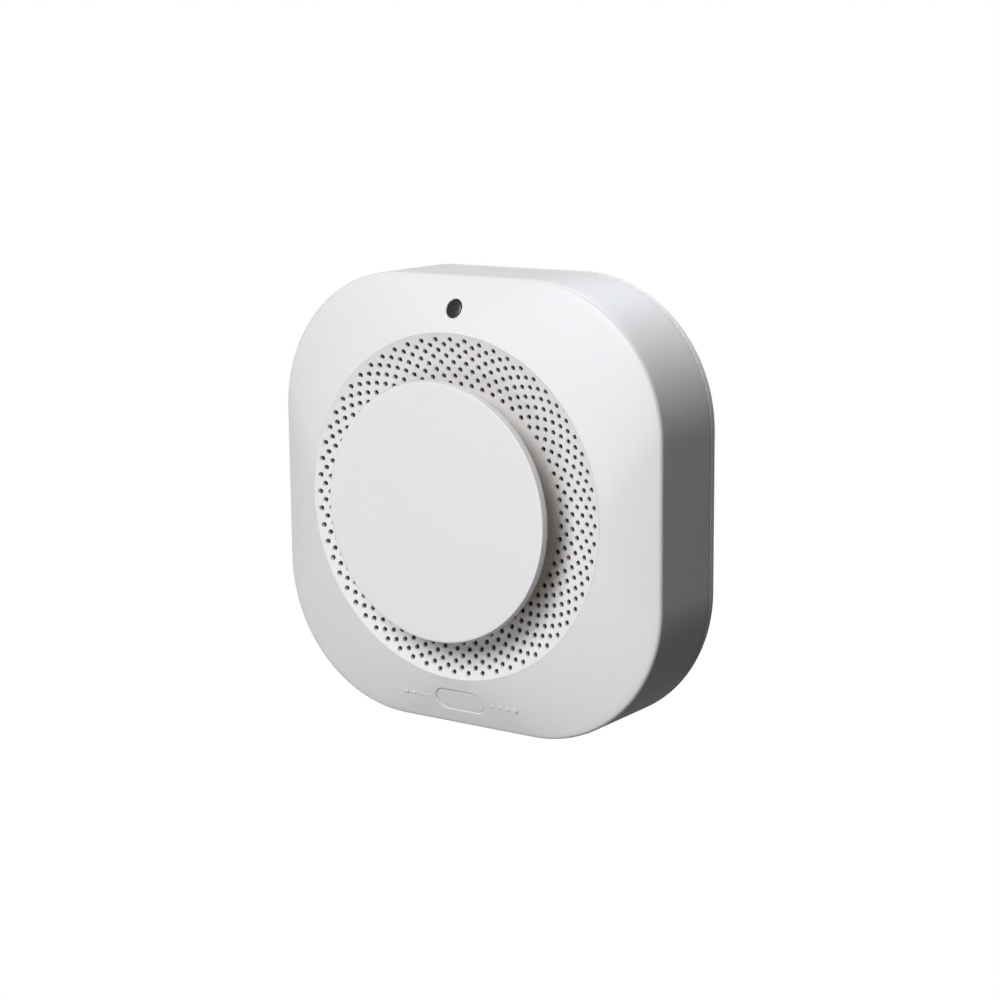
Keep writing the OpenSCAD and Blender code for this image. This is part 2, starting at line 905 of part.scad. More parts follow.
module battery_springs() {
  color(steel)
    on_wall()
      for (s = [-1, 1])
        translate([0, s * cell_pitch / 2, cell_z])
          turn_second(s)
            translate([-bay_l / 2 + plate_t, 0, 0])
              battery_spring();
}

// Contact plate against the bay's end wall, its tail reaching the circuit board
module contact_plate(s, y, w, tail) {
  translate([s > 0 ? bay_l / 2 - plate_t : -bay_l / 2, y - w / 2, cell_z - contact_w / 2])
    cube([plate_t, w, contact_w]);
  if (tail)
    translate([s > 0 ? bay_l / 2 - plate_t : -bay_l / 2, y - tail_w / 2, cell_z])
      cube([plate_t, tail_w, pcb_z - cell_z]);
}

module battery_bridge() {
  color(steel)
    on_wall()
      contact_plate(-1, 0, cell_pitch + contact_w, false);
}

module battery_terminals() {
  color(steel)
    on_wall()
      for (y = [-1, 1])
        contact_plate(1, y * cell_pitch / 2, contact_w, true);
}

module circuit_board() {
  color(board_green)
    on_wall()
      difference() {
        round_block(pcb_w / 2, pcb_h / 2, pcb_corner, pcb_z, pcb_top);
        for (x = [-1, 1])
          for (y = [-1, 1])
            translate([x * board_screw_x, y * board_screw_y, 0])
              disc(screw_r + hole_gap, pcb_z - cut, pcb_top + cut);
        for (k = [0:pegs - 1])
          rotate(peg_a + 360 / pegs * k)
            translate([peg_ring, 0, 0])
              disc(peg_r + peg_gap, pcb_z - cut, pcb_top + cut);
      }
}

module control_chip() {
  color(black)
    on_wall()
      translate([chip_x, chip_y, pcb_top]) {
        translate([-chip_w / 2, -chip_w / 2, chip_gap])
          cube([chip_w, chip_w, chip_h]);
        for (a = [0:90:270])
          rotate(a)
            for (i = [0:leads - 1])
              translate([chip_w / 2 - lead_in, (i - (leads - 1) / 2) * lead_pitch - lead_w / 2, 0])
                cube([lead_l, lead_w, pad_t]);
      }
}

module capacitors() {
  color(steel)
    on_wall()
      for (s = [-1, 1])
        translate([s * can_y, -can_y, pcb_z])
          mirror([0, 0, 1]) {
            translate([-can_r, -can_r, 0])
              cube([2 * can_r, 2 * can_r, can_base]);
            rotate_extrude()
              polygon([
                [0, 0], [can_r, 0], [can_r, can_bead - bead_r], [can_r - bead_r, can_bead],
                [can_r, can_bead + bead_r], [can_r, can_h - can_edge], [can_r - can_edge, can_h], [0, can_h]
              ]);
          }
}

module coil_core() {
  color([0.3, 0.3, 0.32])
    on_wall()
      translate([coil_x, coil_y, pcb_top]) {
        disc(coil_r, 0, coil_flange);
        disc(core_r, 0, coil_h);
        disc(coil_r, coil_h - coil_flange, coil_h);
      }
}

module coil_winding() {
  color(copper)
    on_wall()
      translate([coil_x, coil_y, pcb_top])
        tube(winding_r, core_r, coil_flange, coil_h - coil_flange);
}

module chamber_base() {
  color(black)
    on_wall() {
      difference() {
        union() {
          disc(chamber_r, pcb_top, vane_low);
          for (a = [emitter_a, diode_a])
            rotate(a)
              translate([cradle_low_r, -cradle_w / 2, vane_low - slice])
                cube([cradle_high_r - cradle_low_r, cradle_w, cradle_h]);
        }
        for (a = [emitter_a, diode_a])
          rotate(a) {
            translate([cradle_low_r - cut, 0, beam_z])
              rotate([0, 90, 0])
                cylinder(r = lamp_r + lamp_gap, h = cradle_high_r - cradle_low_r + 2 * cut);
            translate([lamp_high_r - lamp_gap, -leg_slot / 2, pcb_top - cut])
              cube([chamber_r, leg_slot, beam_z - pcb_top + cut]);
          }
      }
      for (k = [0:pegs - 1])
        rotate(peg_a + 360 / pegs * k)
          translate([peg_ring, 0, 0])
            disc(peg_r, pcb_z, pcb_top + slice);
    }
}

function turn_between(a, b) = abs(((a - b) % 360 + 540) % 360 - 180);

// Bent vane: an arm across the airway and a return that blocks the light
module vane() {
  translate([vane_r, 0, vane_low])
    linear_extrude(cover_top - cover_t - vane_low + slice) {
      rotate(vane_turn)
        translate([-vane_l / 2, -vane_t / 2])
          square([vane_l, vane_t]);
      rotate(vane_turn)
        translate([-vane_l / 2, 0])
          rotate(-vane_bend)
            translate([-vane_t / 2, -vane_t / 2])
              square([vane_return, vane_t]);
    }
}

module chamber_cover() {
  color(black)
    on_wall() {
      disc(chamber_r, cover_top - cover_t, cover_top);
      for (k = [0:vanes - 1]) {
        a = 360 / vanes * k;
        if (min(turn_between(a, emitter_a), turn_between(a, diode_a)) > lamp_clear)
          rotate(a)
            vane();
      }
    }
}

module insect_screen() {
  r = chamber_r + screen_gap;
  pitch = (cover_top - pcb_top - screen_bar) / screen_rows;
  w = PI * 2 * r / screen_cols - screen_bar;
  color(steel)
    on_wall()
      difference() {
        tube(r + screen_t, r, pcb_top, cover_top);
        for (i = [0:screen_cols - 1])
          rotate(i * 360 / screen_cols)
            for (k = [0:screen_rows - 1])
              translate([r - cut, -w / 2, pcb_top + screen_bar + k * pitch])
                cube([screen_t + 2 * cut, w, pitch - screen_bar]);
      }
}

module chamber_gasket() {
  r = chamber_r + screen_gap + screen_t + gasket_gap;
  color([0.2, 0.2, 0.2])
    on_wall()
      tube(neck_r, r, pcb_top, neck_d);
}

// Round-nosed lamp that looks at the chamber's middle, its legs down to the board
module lamp(angle) {
  rotate(angle) {
    translate([lamp_low_r, 0, beam_z])
      rotate([0, 90, 0])
        cylinder(r = lamp_r, h = lamp_high_r - lamp_low_r);
    translate([lamp_low_r, 0, beam_z])
      sphere(r = lamp_r);
    for (s = [-1, 1])
      translate([lamp_high_r - slice, s * leg_pitch / 2 - leg_w / 2, pcb_top])
        cube([leg_w + slice, leg_w, beam_z - pcb_top]);
  }
}

module infrared_emitter() {
  color([0.35, 0.4, 0.6, 1])
    on_wall()
      lamp(emitter_a);
}

module photodiode() {
  color(black)
    on_wall()
      lamp(diode_a);
}

module at_sounder() {
  rotate(sounder_a)
    translate([sounder_ring, 0, 0])
      children();
}

module sounder_case() {
  color(black)
    on_wall()
      at_sounder()
        difference() {
          disc(sounder_r, pcb_top, pcb_top + sounder_h);
          disc(sounder_r - sounder_wall, pcb_top - cut, disc_seat);
          disc(sounder_r - sounder_wall - sounder_lip, pcb_top - cut, pcb_top + sounder_h - sounder_top);
          disc(sounder_port_r, pcb_top, pcb_top + sounder_h + cut);
        }
}

module piezo_disc() {
  color(brass)
    on_wall()
      at_sounder() {
        disc(disc_r, disc_seat - brass_t, disc_seat);
        disc(ceramic_r, disc_seat - brass_t - ceramic_t, disc_seat - brass_t + slice);
      }
}

module sounder_contacts() {
  color(brass)
    on_wall()
      at_sounder() {
        disc(contact_r, pcb_top, disc_seat - brass_t - ceramic_t);
        translate([(ceramic_r + disc_r) / 2, 0, 0])
          disc(contact_r, pcb_top, disc_seat - brass_t);
      }
}

// Pan-head screw: the head's seat at z = 0, the shank towards +z
module pan_screw(r, length, head, height) {
  difference() {
    translate([0, 0, -height])
      cylinder(r1 = head * head_taper, r2 = head, h = height);
    for (a = [0, 90])
      rotate(a)
        translate([-head / 2, -cross_w / 2, -height - cut])
          cube([head, cross_w, cut + height / 2]);
  }
  translate([0, 0, -slice])
    cylinder(r = r, h = length + slice);
}

module housing_screws() {
  color(steel)
    on_wall()
      for (x = [-1, 1])
        for (y = [-1, 1])
          translate([x * case_screw, y * case_screw, case_seat])
            pan_screw(case_screw_r, case_screw_l, case_head_r, case_head_h);
}

module board_screws() {
  color(steel)
    on_wall()
      for (x = [-1, 1])
        for (y = [-1, 1])
          translate([x * board_screw_x, y * board_screw_y, pcb_top])
            mirror([0, 0, 1])
              pan_screw(screw_r, pcb_t + board_thread_l, head_r, head_h);
}

mounting_bracket();
rear_cover();
front_cover();
sound_grille();
smoke_cap();
indicator_lens();
test_button();
battery_door();
battery_cells();
battery_springs();
battery_bridge();
battery_terminals();
circuit_board();
control_chip();
capacitors();
coil_core();
coil_winding();
status_led();
switch_body();
switch_plunger();
chamber_base();
chamber_cover();
insect_screen();
chamber_gasket();
infrared_emitter();
photodiode();
sounder_case();
piezo_disc();
sounder_contacts();
housing_screws();
board_screws();
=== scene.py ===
import json
import math

import bmesh
import bpy
from mathutils import Matrix, Vector


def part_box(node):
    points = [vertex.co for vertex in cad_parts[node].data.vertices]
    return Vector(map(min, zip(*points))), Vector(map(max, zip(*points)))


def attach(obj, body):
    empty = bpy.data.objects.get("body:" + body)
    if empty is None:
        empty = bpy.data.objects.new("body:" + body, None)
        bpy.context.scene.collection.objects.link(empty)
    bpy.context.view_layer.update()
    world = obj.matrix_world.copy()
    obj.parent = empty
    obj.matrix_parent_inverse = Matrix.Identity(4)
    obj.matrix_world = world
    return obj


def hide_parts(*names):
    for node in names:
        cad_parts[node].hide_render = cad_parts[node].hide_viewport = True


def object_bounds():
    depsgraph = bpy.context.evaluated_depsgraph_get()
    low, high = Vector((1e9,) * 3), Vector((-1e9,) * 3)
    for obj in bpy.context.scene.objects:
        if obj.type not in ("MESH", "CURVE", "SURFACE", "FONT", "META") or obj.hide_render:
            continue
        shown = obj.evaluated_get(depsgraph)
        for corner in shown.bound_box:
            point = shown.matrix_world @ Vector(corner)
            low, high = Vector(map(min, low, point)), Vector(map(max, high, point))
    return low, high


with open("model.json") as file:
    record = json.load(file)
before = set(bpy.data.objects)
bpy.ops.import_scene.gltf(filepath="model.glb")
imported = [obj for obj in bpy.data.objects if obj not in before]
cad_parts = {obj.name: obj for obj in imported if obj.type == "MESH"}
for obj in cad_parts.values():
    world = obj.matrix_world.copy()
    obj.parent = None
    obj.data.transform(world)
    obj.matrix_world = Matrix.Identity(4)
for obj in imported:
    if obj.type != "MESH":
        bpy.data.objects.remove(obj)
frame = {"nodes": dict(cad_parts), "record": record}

mm = 0.001
weldGap = 0.002               # mm, up to which the doubles of a new shape are merged
cellWeldGap = 0.005           # mm, the same between repeated cells
scene = bpy.context.scene
cadBox = [list(corner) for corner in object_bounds()]
print("frame loaded:", len(frame["nodes"]), "nodes")


def at(across, up, out):
    # Millimetres across, up and out of the wall, as a place in the frame
    return Vector((across * mm, -out * mm, up * mm))


def extent(node):
    # Lowest and highest (across, up, out) of a node, in millimetres
    low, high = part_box(node)
    return (low.x / mm, low.z / mm, -high.y / mm), (high.x / mm, high.z / mm, -low.y / mm)


def linearColour(hexCode):
    # sRGB hex to the linear colour that a shader takes
    shares = [int(hexCode[i:i + 2], 16) / 255 for i in (1, 3, 5)]
    return [s / 12.92 if s <= 0.04045 else ((s + 0.055) / 1.055) ** 2.4 for s in shares] + [1]


def addNode(tree, kind, inputs=None, **settings):
    # A node with its settings; an input takes a value, or the socket or node that feeds it
    node = tree.nodes.new(kind)
    for name, value in settings.items():
        setattr(node, name, value)
    for name, value in (inputs or {}).items():
        if isinstance(value, bpy.types.Node):
            value = value.outputs[0]
        if isinstance(value, bpy.types.NodeSocket):
            tree.links.new(value, node.inputs[name])
        else:
            node.inputs[name].default_value = value
    return node


# Stage: camera at the photograph's angle, white surround, soft light from the front and above

cameraView = {
    "lens": 81.72,            # mm on a 36 mm sensor
    "azimuth": 35.115,        # degrees to the right of straight on
    "elevation": 11.071,
    "roll": -0.543,
    "sideways": -8.328,       # mm from the view's axis to the middle of the face
    "downwards": 1.105,
    "distance": 530.05,       # mm along the view's axis
    "faceOut": 24.2,          # mm from the wall to the plane of the face's edge
}


def addCamera(facts):
    turn, lift = math.radians(facts["azimuth"]), math.radians(facts["elevation"])
    backward = Vector((math.sin(turn) * math.cos(lift), -math.cos(turn) * math.cos(lift), math.sin(lift)))
    right = (-backward).cross(Vector((0, 0, 1))).normalized()
    upward = right.cross(-backward)
    roll = math.radians(facts["roll"])
    rolledRight = right * math.cos(roll) + upward * math.sin(roll)
    rolledUp = upward * math.cos(roll) - right * math.sin(roll)
    place = at(0, 0, facts["faceOut"]) - mm * (
        rolledRight * facts["sideways"] - rolledUp * facts["downwards"] - backward * facts["distance"])
    data = bpy.data.cameras.new("camera")
    data.lens = facts["lens"]
    data.sensor_width = 36
    data.clip_start, data.clip_end = 0.01, 20
    camera = bpy.data.objects.new("camera", data)
    scene.collection.objects.link(camera)
    axes = Matrix((rolledRight, rolledUp, backward)).transposed()
    camera.matrix_world = Matrix.Translation(place) @ axes.to_4x4()
    scene.camera = camera


addCamera(cameraView)

studio = {
    "floorDrop": 0.6,         # m from the object down to the floor
    "floorSize": 12,
    "floorColour": "#808080",
    "surround": 0.02,         # strength of the light from all round
    "lampDistance": 1.2, "lampSize": 0.6,     # m
    "lampColour": (0.92, 1.0, 1.105),
}

softLights = {                # degrees round from straight on and up, and power in W
    "keyLight": {"turn": 0, "lift": 35, "power": 12.6},
    "sideLight": {"turn": 15, "lift": 35, "power": 3.4},
    "lowLight": {"turn": -8, "lift": -15, "power": 3.7},
    "rimLight": {"turn": 180, "lift": 55, "power": 8.9},
    "cornerLight": {"turn": 150, "lift": 40, "power": 1.7},
}


def showPlainly(tree, lighting, seen, outputKind):
    # The camera sees one shader, and every other ray meets the one for the light
    path = addNode(tree, "ShaderNodeLightPath")
    mixed = addNode(tree, "ShaderNodeMixShader", {0: path.outputs["Is Camera Ray"], 1: lighting, 2: seen})
    addNode(tree, outputKind, {"Surface": mixed})


def addStage(facts):
    scene.view_settings.view_transform = "Standard"
    world = bpy.data.worlds.new("studioSurround")
    scene.world = world
    world.use_nodes = True
    tree = world.node_tree
    tree.nodes.clear()
    lighting = addNode(tree, "ShaderNodeBackground", {"Color": (1, 1, 1, 1), "Strength": facts["surround"]})
    seen = addNode(tree, "ShaderNodeBackground", {"Color": (1, 1, 1, 1), "Strength": 1.0})
    showPlainly(tree, lighting, seen, "ShaderNodeOutputWorld")

    # Pale floor, white to the eye
    pale = bpy.data.materials.new("paleFloor")
    pale.use_nodes = True
    tree = pale.node_tree
    tree.nodes.clear()
    lit = addNode(tree, "ShaderNodeBsdfDiffuse", {"Color": linearColour(facts["floorColour"])})
    glow = addNode(tree, "ShaderNodeEmission", {"Color": (1, 1, 1, 1), "Strength": 1.0})
    showPlainly(tree, lit, glow, "ShaderNodeOutputMaterial")
    half, level = facts["floorSize"] / 2, cadBox[0][2] - facts["floorDrop"]
    mesh = bpy.data.meshes.new("floor")
    corners = ((-half, -half), (half, -half), (half, half), (-half, half))
    mesh.from_pydata([(x, y, level) for x, y in corners], [], [(0, 1, 2, 3)])
    mesh.materials.append(pale)
    floor = bpy.data.objects.new("floor", mesh)
    scene.collection.objects.link(floor)


def addLights(lights):
    for name, facts in lights.items():
        data = bpy.data.lights.new(name, "AREA")
        data.size = studio["lampSize"]
        data.energy = facts["power"]
        data.color = studio["lampColour"]
        lamp = bpy.data.objects.new(name, data)
        scene.collection.objects.link(lamp)
        turn, lift = math.radians(facts["turn"]), math.radians(facts["lift"])
        place = studio["lampDistance"] * Vector((
            math.sin(turn) * math.cos(lift), -math.cos(turn) * math.cos(lift), math.sin(lift)))
        lamp.location = place
        lamp.rotation_euler = (-place).to_track_quat("-Z", "Y").to_euler()


addStage(studio)
addLights(softLights)
print("stage set")


# Materials. Each is named for the real one.

def newMaterial(name, facts):
    # Principled surface with a fine bump and a slow drift of its colour
    material = bpy.data.materials.new(name)
    material.use_nodes = True
    tree = material.node_tree
    tree.nodes.clear()
    place = addNode(tree, "ShaderNodeTexCoord").outputs["Object"]
    grain = addNode(tree, "ShaderNodeTexNoise", {
        "Vector": place, "Scale": 1 / (facts["grain"] * mm), "Detail": 3, "Roughness": 0.6})
    drift = addNode(tree, "ShaderNodeTexNoise", {
        "Vector": place, "Scale": 1 / (facts["drift"] * mm), "Detail": 2})
    # Inputs 6 and 7 and output 2 are the Mix node's colour sockets
    colours = addNode(tree, "ShaderNodeMix", {
        0: drift.outputs["Fac"], 6: linearColour(facts["colour"]), 7: linearColour(facts["second"])},
        data_type="RGBA")
    roughness = addNode(tree, "ShaderNodeMapRange", {
        "Value": grain.outputs["Fac"], "From Min": 0.3, "From Max": 0.7,
        "To Min": facts["roughness"][0], "To Max": facts["roughness"][1]})
    bump = addNode(tree, "ShaderNodeBump", {
        "Height": grain.outputs["Fac"], "Strength": facts.get("bump", 0.3),
        "Distance": facts["depth"] * mm})
    surface = addNode(tree, "ShaderNodeBsdfPrincipled", {
        "Base Color": colours.outputs[2],
        "Roughness": roughness.outputs["Result"],
        "Normal": bump.outputs["Normal"],
        "Metallic": facts.get("metallic", 0)})
    for socketName, value in facts.get("surface", {}).items():
        surface.inputs[socketName].default_value = value
    addNode(tree, "ShaderNodeOutputMaterial", {"Surface": surface})
    return material


materialFacts = {
    # White ABS from a spark-textured mould: soft sheen, no clear reflections. Its grain of about 0.1 mm
    # is drawn three times as coarse, so that it shows.
    "mouldedAbs": {
        "colour": "#DCD4CC", "second": "#DED6CE", "grain": 0.35, "drift": 30, "depth": 0.012,
        "roughness": (0.44, 0.54), "surface": {
            "IOR": 1.53, "Subsurface Weight": 0.15, "Subsurface Radius": (1.0, 0.5, 0.35),
            "Subsurface Scale": 0.7 * mm}},
    # The same plastic, a shade lighter, on the back half
    "mouldedAbsBack": {
        "colour": "#E3DBD3", "second": "#E6DED6", "grain": 0.35, "drift": 30, "depth": 0.012,
        "roughness": (0.46, 0.56), "surface": {"IOR": 1.53}},
    # Smoked acrylic: polished, nearly black
    "smokedAcrylic": {
        "colour": "#2A2824", "second": "#35332E", "grain": 2.0, "drift": 1.2, "depth": 0.002,
        "roughness": (0.22, 0.3), "surface": {"IOR": 1.49, "Coat Weight": 0.3, "Coat Roughness": 0.05}},
    # Black moulded plastic, glass filled: matt with a fine speckle
    "blackMouldedPlastic": {
        "colour": "#12110F", "second": "#1A1815", "grain": 0.3, "drift": 6, "depth": 0.02,
        "roughness": (0.5, 0.68), "surface": {"IOR": 1.5}},
    # Shrink sleeve on a cell: glossy dark film
    "shrinkSleeve": {
        "colour": "#2A2D33", "second": "#30343B", "grain": 3.0, "drift": 15, "depth": 0.01,
        "roughness": (0.18, 0.28), "surface": {"IOR": 1.5}},
    # Nickel-plated spring steel: bright, slightly brushed
    "nickelPlate": {
        "colour": "#B9BBBE", "second": "#C6C8CB", "grain": 0.25, "drift": 4, "depth": 0.004,
        "roughness": (0.22, 0.34), "metallic": 1},
    # Solder mask: green lacquer over copper
    "solderMask": {
        "colour": "#0A2E17", "second": "#0D3A1D", "grain": 1.2, "drift": 5, "depth": 0.02,
        "roughness": (0.25, 0.4), "surface": {"IOR": 1.5}},
    # Drawn aluminium can: satin
    "drawnAluminium": {
        "colour": "#C9CBCE", "second": "#D2D4D6", "grain": 0.3, "drift": 4, "depth": 0.005,
        "roughness": (0.25, 0.38), "metallic": 1},
    # Sintered ferrite: dark, porous, dull
    "sinteredFerrite": {
        "colour": "#3A3A3C", "second": "#464649", "grain": 0.2, "drift": 3, "depth": 0.03,
        "roughness": (0.6, 0.8)},
    # Enamelled copper wire, wound
    "enamelledCopper": {
        "colour": "#B06A3C", "second": "#C2794A", "grain": 0.3, "drift": 2, "depth": 0.02,
        "roughness": (0.2, 0.32), "metallic": 1},
    # White package of a small light-emitting diode
    "ledPackage": {
        "colour": "#E9E6DA", "second": "#F1EEE4", "grain": 0.5, "drift": 2, "depth": 0.004,
        "roughness": (0.3, 0.4), "surface": {"IOR": 1.5}},
    # Closed-cell foam: dark and pitted
    "closedCellFoam": {
        "colour": "#2A2A2B", "second": "#353537", "grain": 0.6, "drift": 5, "depth": 0.15,
        "roughness": (0.85, 0.95), "bump": 0.8},
    # Tinted epoxy of an infrared lamp: clear blue-violet
    "tintedEpoxy": {
        "colour": "#5A6590", "second": "#66719C", "grain": 1.0, "drift": 3, "depth": 0.003,
        "roughness": (0.05, 0.1), "surface": {"IOR": 1.55, "Transmission Weight": 0.6}},
    # Rolled brass sheet
    "rolledBrass": {
        "colour": "#D8B35A", "second": "#E0BE6A", "grain": 0.3, "drift": 5, "depth": 0.004,
        "roughness": (0.25, 0.36), "metallic": 1},
}

materials = {name: newMaterial(name, facts) for name, facts in materialFacts.items()}
slotMaterials = {
    "white_plastic": "mouldedAbs", "band_plastic": "mouldedAbsBack", "smoked_lens": "smokedAcrylic",
    "black_plastic": "blackMouldedPlastic", "cell_sleeve": "shrinkSleeve", "plated_steel": "nickelPlate",
    "board": "solderMask", "can_aluminium": "drawnAluminium", "ferrite": "sinteredFerrite",
    "copper_wire": "enamelledCopper", "led_body": "ledPackage", "foam": "closedCellFoam",
    "tinted_epoxy": "tintedEpoxy", "brass_sheet": "rolledBrass",
}
nodeSlots = {part["node"]: part["material_slot"] for part in frame["record"]["subparts"]}
for nodeName, cadObject in frame["nodes"].items():
    cadObject.data.materials.clear()
    cadObject.data.materials.append(materials[slotMaterials[nodeSlots[nodeName]]])
print("materials made:", len(materials))


# Mesh helpers

def loftLoops(shape, loops, wrap=False):
    # Skin over closed loops of (across, up, out); a loop of one point is a pole
    rows = [[shape.verts.new(at(*point)) for point in loop] for loop in loops]
    pairs = list(zip(rows, rows[1:])) + ([(rows[-1], rows[0])] if wrap else [])
    for first, second in pairs:
        count = max(len(first), len(second))
        for i in range(count):
            j = (i + 1) % count
            corners = (first[i % len(first)], first[j % len(first)],
                       second[j % len(second)], second[i % len(second)])
            shape.faces.new(dict.fromkeys(corners))


def circleLoop(radius, out, steps, centre=(0, 0)):
    if radius < 0.001:
        return [(centre[0], centre[1], out)]
    return [(centre[0] + radius * math.cos(2 * math.pi * i / steps),
             centre[1] + radius * math.sin(2 * math.pi * i / steps), out) for i in range(steps)]


def pillLoop(width, height, inset, outOf, steps=16):
    # Pill outline lying across, drawn in by inset; outOf gives each point's height over the wall
    radius = max(height / 2 - inset, 0.001)
    reach = (width - height) / 2
    loop = []
    for side in (1, -1):
        for i in range(steps + 1):
            angle = side * math.pi / 2 * (2 * i / steps - 1)
            loop.append((side * (reach + radius * math.cos(angle)), radius * math.sin(angle)))
    return [(x, y, outOf(x, y)) for x, y in loop]


def addBlock(shape, low, high, turn=0.0):
    # Box between two corners, turned about the middle of the face by so many degrees
    c, s = math.cos(math.radians(turn)), math.sin(math.radians(turn))
    loops = []
    for out in (low[2], high[2]):
        corners = ((low[0], low[1]), (high[0], low[1]), (high[0], high[1]), (low[0], high[1]))
        loops.append([(x * c - y * s, x * s + y * c, out) for x, y in corners])
    middle = [sum(loops[0][i][axis] for i in range(4)) / 4 for axis in (0, 1)]
    loftLoops(shape, [[(*middle, low[2])]] + loops + [[(*middle, high[2])]])


def addTube(shape, outer, inner, low, high):
    # Tube between two outlines of (across, up); its ends are heights or functions of the place
    loops = []
    for outline, end in ((outer, low), (outer, high), (inner, high), (inner, low)):
        loops.append([(x, y, end(x, y) if callable(end) else end) for x, y in outline])
    loftLoops(shape, loops, wrap=True)


def spinProfile(shape, profile, steps, centre=(0, 0)):
    # Skin of a profile of (radius, out), turned about its middle
    loftLoops(shape, [circleLoop(radius, out, steps, centre) for radius, out in profile])


def flatCircle(radius, steps, centre=(0, 0)):
    return [(x, y) for x, y, _ in circleLoop(radius, 0, steps, centre)]


def flatPill(width, height, up):
    return [(x, y + up) for x, y, _ in pillLoop(width, height, 0, lambda x, y: 0)]


def joinShape(piece, shape):
    # Adds closed skins to a finished piece
    bmesh.ops.recalc_face_normals(shape, faces=shape.faces)
    shape.from_mesh(piece.data)
    material = piece.data.materials[0]
    mesh = meshOf(shape, piece.name, fresh=False)
    mesh.materials.append(material)
    old = piece.data
    piece.data = mesh
    bpy.data.meshes.remove(old)


def arcPoints(centre, radius, fromAngle, toAngle, steps):
    # Points (radius, out) on an arc of a profile, angles in degrees
    angles = [math.radians(fromAngle + (toAngle - fromAngle) * i / steps) for i in range(steps + 1)]
    return [(centre[0] + radius * math.cos(a), centre[1] + radius * math.sin(a)) for a in angles]


def meshOf(shape, name, sharpAngle=30, fresh=True):
    if fresh:
        bmesh.ops.remove_doubles(shape, verts=shape.verts, dist=weldGap * mm)
        bmesh.ops.recalc_face_normals(shape, faces=shape.faces)
    mesh = bpy.data.meshes.new(name)
    shape.to_mesh(mesh)
    shape.free()
    mesh.shade_smooth()
    mesh.set_sharp_from_angle(angle=math.radians(sharpAngle))
    return mesh


def newObject(name, mesh, material=None):
    piece = bpy.data.objects.new(name, mesh)
    scene.collection.objects.link(piece)
    if material:
        mesh.materials.clear()
        mesh.materials.append(materials[material])
    return piece


def settle(piece, body, slot, *nodes):
    # A finished piece rides on its body and stands for its nodes
    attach(piece, body)
    if nodes:
        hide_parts(*nodes)


def applyModifiers(piece):
    depsgraph = bpy.context.evaluated_depsgraph_get()
    mesh = bpy.data.meshes.new_from_object(piece.evaluated_get(depsgraph))
    piece.modifiers.clear()
    old = piece.data
    piece.data = mesh
    bpy.data.meshes.remove(old)


def cutBy(piece, cutters):
    for cutter in cutters:
        cut = piece.modifiers.new("cut", "BOOLEAN")
        cut.operation = "DIFFERENCE"
        cut.solver = "EXACT"
        cut.object = cutter
    applyModifiers(piece)
    for cutter in cutters:
        bpy.data.objects.remove(cutter)
    piece.data.shade_smooth()
    piece.data.set_sharp_from_angle(angle=math.radians(30))


# Front cover: rounded square with a domed face that rises to the grille's crest

frontLow, frontHigh = extent("front_cover")
grilleLow, grilleHigh = extent("sound_grille")
buttonLow, buttonHigh = extent("test_button")
lensLow, lensHigh = extent("indicator_lens")

cover = {
    "half": frontHigh[0],     # mm, half the width
    "corner": 34.8,           # corner radius
    "wall": 2.0,
    "faceOut": 24.2,          # plane of the face's edge
    "edge": 1.2,              # rounding of that edge
    "edgeTurn": 63,           # degrees that the rounding turns through
    "rise": 5.37,             # of the slope, from that plane to its inner end
    "slopeStart": 40.9,       # radius of that end
    "bulge": 0.12,
    "bore": 40.84,            # radius of the grille's opening
    "boreDepth": 3.4,
    "seamOut": frontLow[2],
    # mm in from the side wall, and over the seam
    "seamProfile": ((0, 0.6), (0, 0.25), (0.08, 0.07), (0.25, 0)),
    "wallLoops": (20, 15, 10, 6),         # heights of the loops on the side wall
    "slopeLoops": 16, "firstLoop": 0.06,  # loops on the slope, and the share of it that lies before them
    "edgeLoops": 7,
    "underLoops": (1, 0.75, 0.5, 0.3),    # shares of the slope that have a loop on the inside
    "underInset": 1.35, "underDepth": 2.1,
    "steps": 240,             # points round each loop
}


def squareLoop(half, corner, out, steps):
    # Rounded square, its points evenly turned about the middle
    loop = []
    inner = half - corner
    for i in range(steps):
        angle = 2 * math.pi * i / steps
        c, s = math.cos(angle), math.sin(angle)
        big, small = max(abs(c), abs(s)), min(abs(c), abs(s))
        reach = half / big
        if reach * small > inner:
            total = inner * (big + small)
            reach = total + math.sqrt(max(total * total - 2 * inner * inner + corner * corner, 0))
        loop.append((reach * c, reach * s, out))
    return loop


def faceStation(share, inset=0.0, sunk=0.0):
    # Half width, corner radius and height at a share of the way from crest (0) to edge (1)
    start = cover["slopeStart"]
    edgeIn = cover["edge"] * (1 - math.cos(math.radians(cover["edgeTurn"])))
    half = start + (cover["half"] - edgeIn - inset - start) * share
    corner = start + (cover["corner"] - edgeIn - inset - start) * share
    out = cover["faceOut"] + cover["rise"] * (1 - share) * (1 + cover["bulge"] * share)
    return half, min(half - 0.01, corner), out - sunk


def faceLine(radius):
    # Height of the face's slope where it is round, also a little inside the bore
    start = cover["slopeStart"]
    edgeIn = cover["edge"] * (1 - math.cos(math.radians(cover["edgeTurn"])))
    return faceStation((radius - start) / (cover["half"] - edgeIn - start))[2]


def faceOutAt(across, up):
    # Height of the domed face over the wall at a place on it
    low, high = -0.5, 1.2
    for _ in range(30):
        share = (low + high) / 2
        half, corner, out = faceStation(share)
        x, y = max(abs(across), abs(up)), min(abs(across), abs(up))
        inner = half - corner
        inside = x < half if y < inner else math.hypot(x - inner, y - inner) < corner
        low, high = (low, share) if inside else (share, high)
    return faceStation((low + high) / 2)[2]


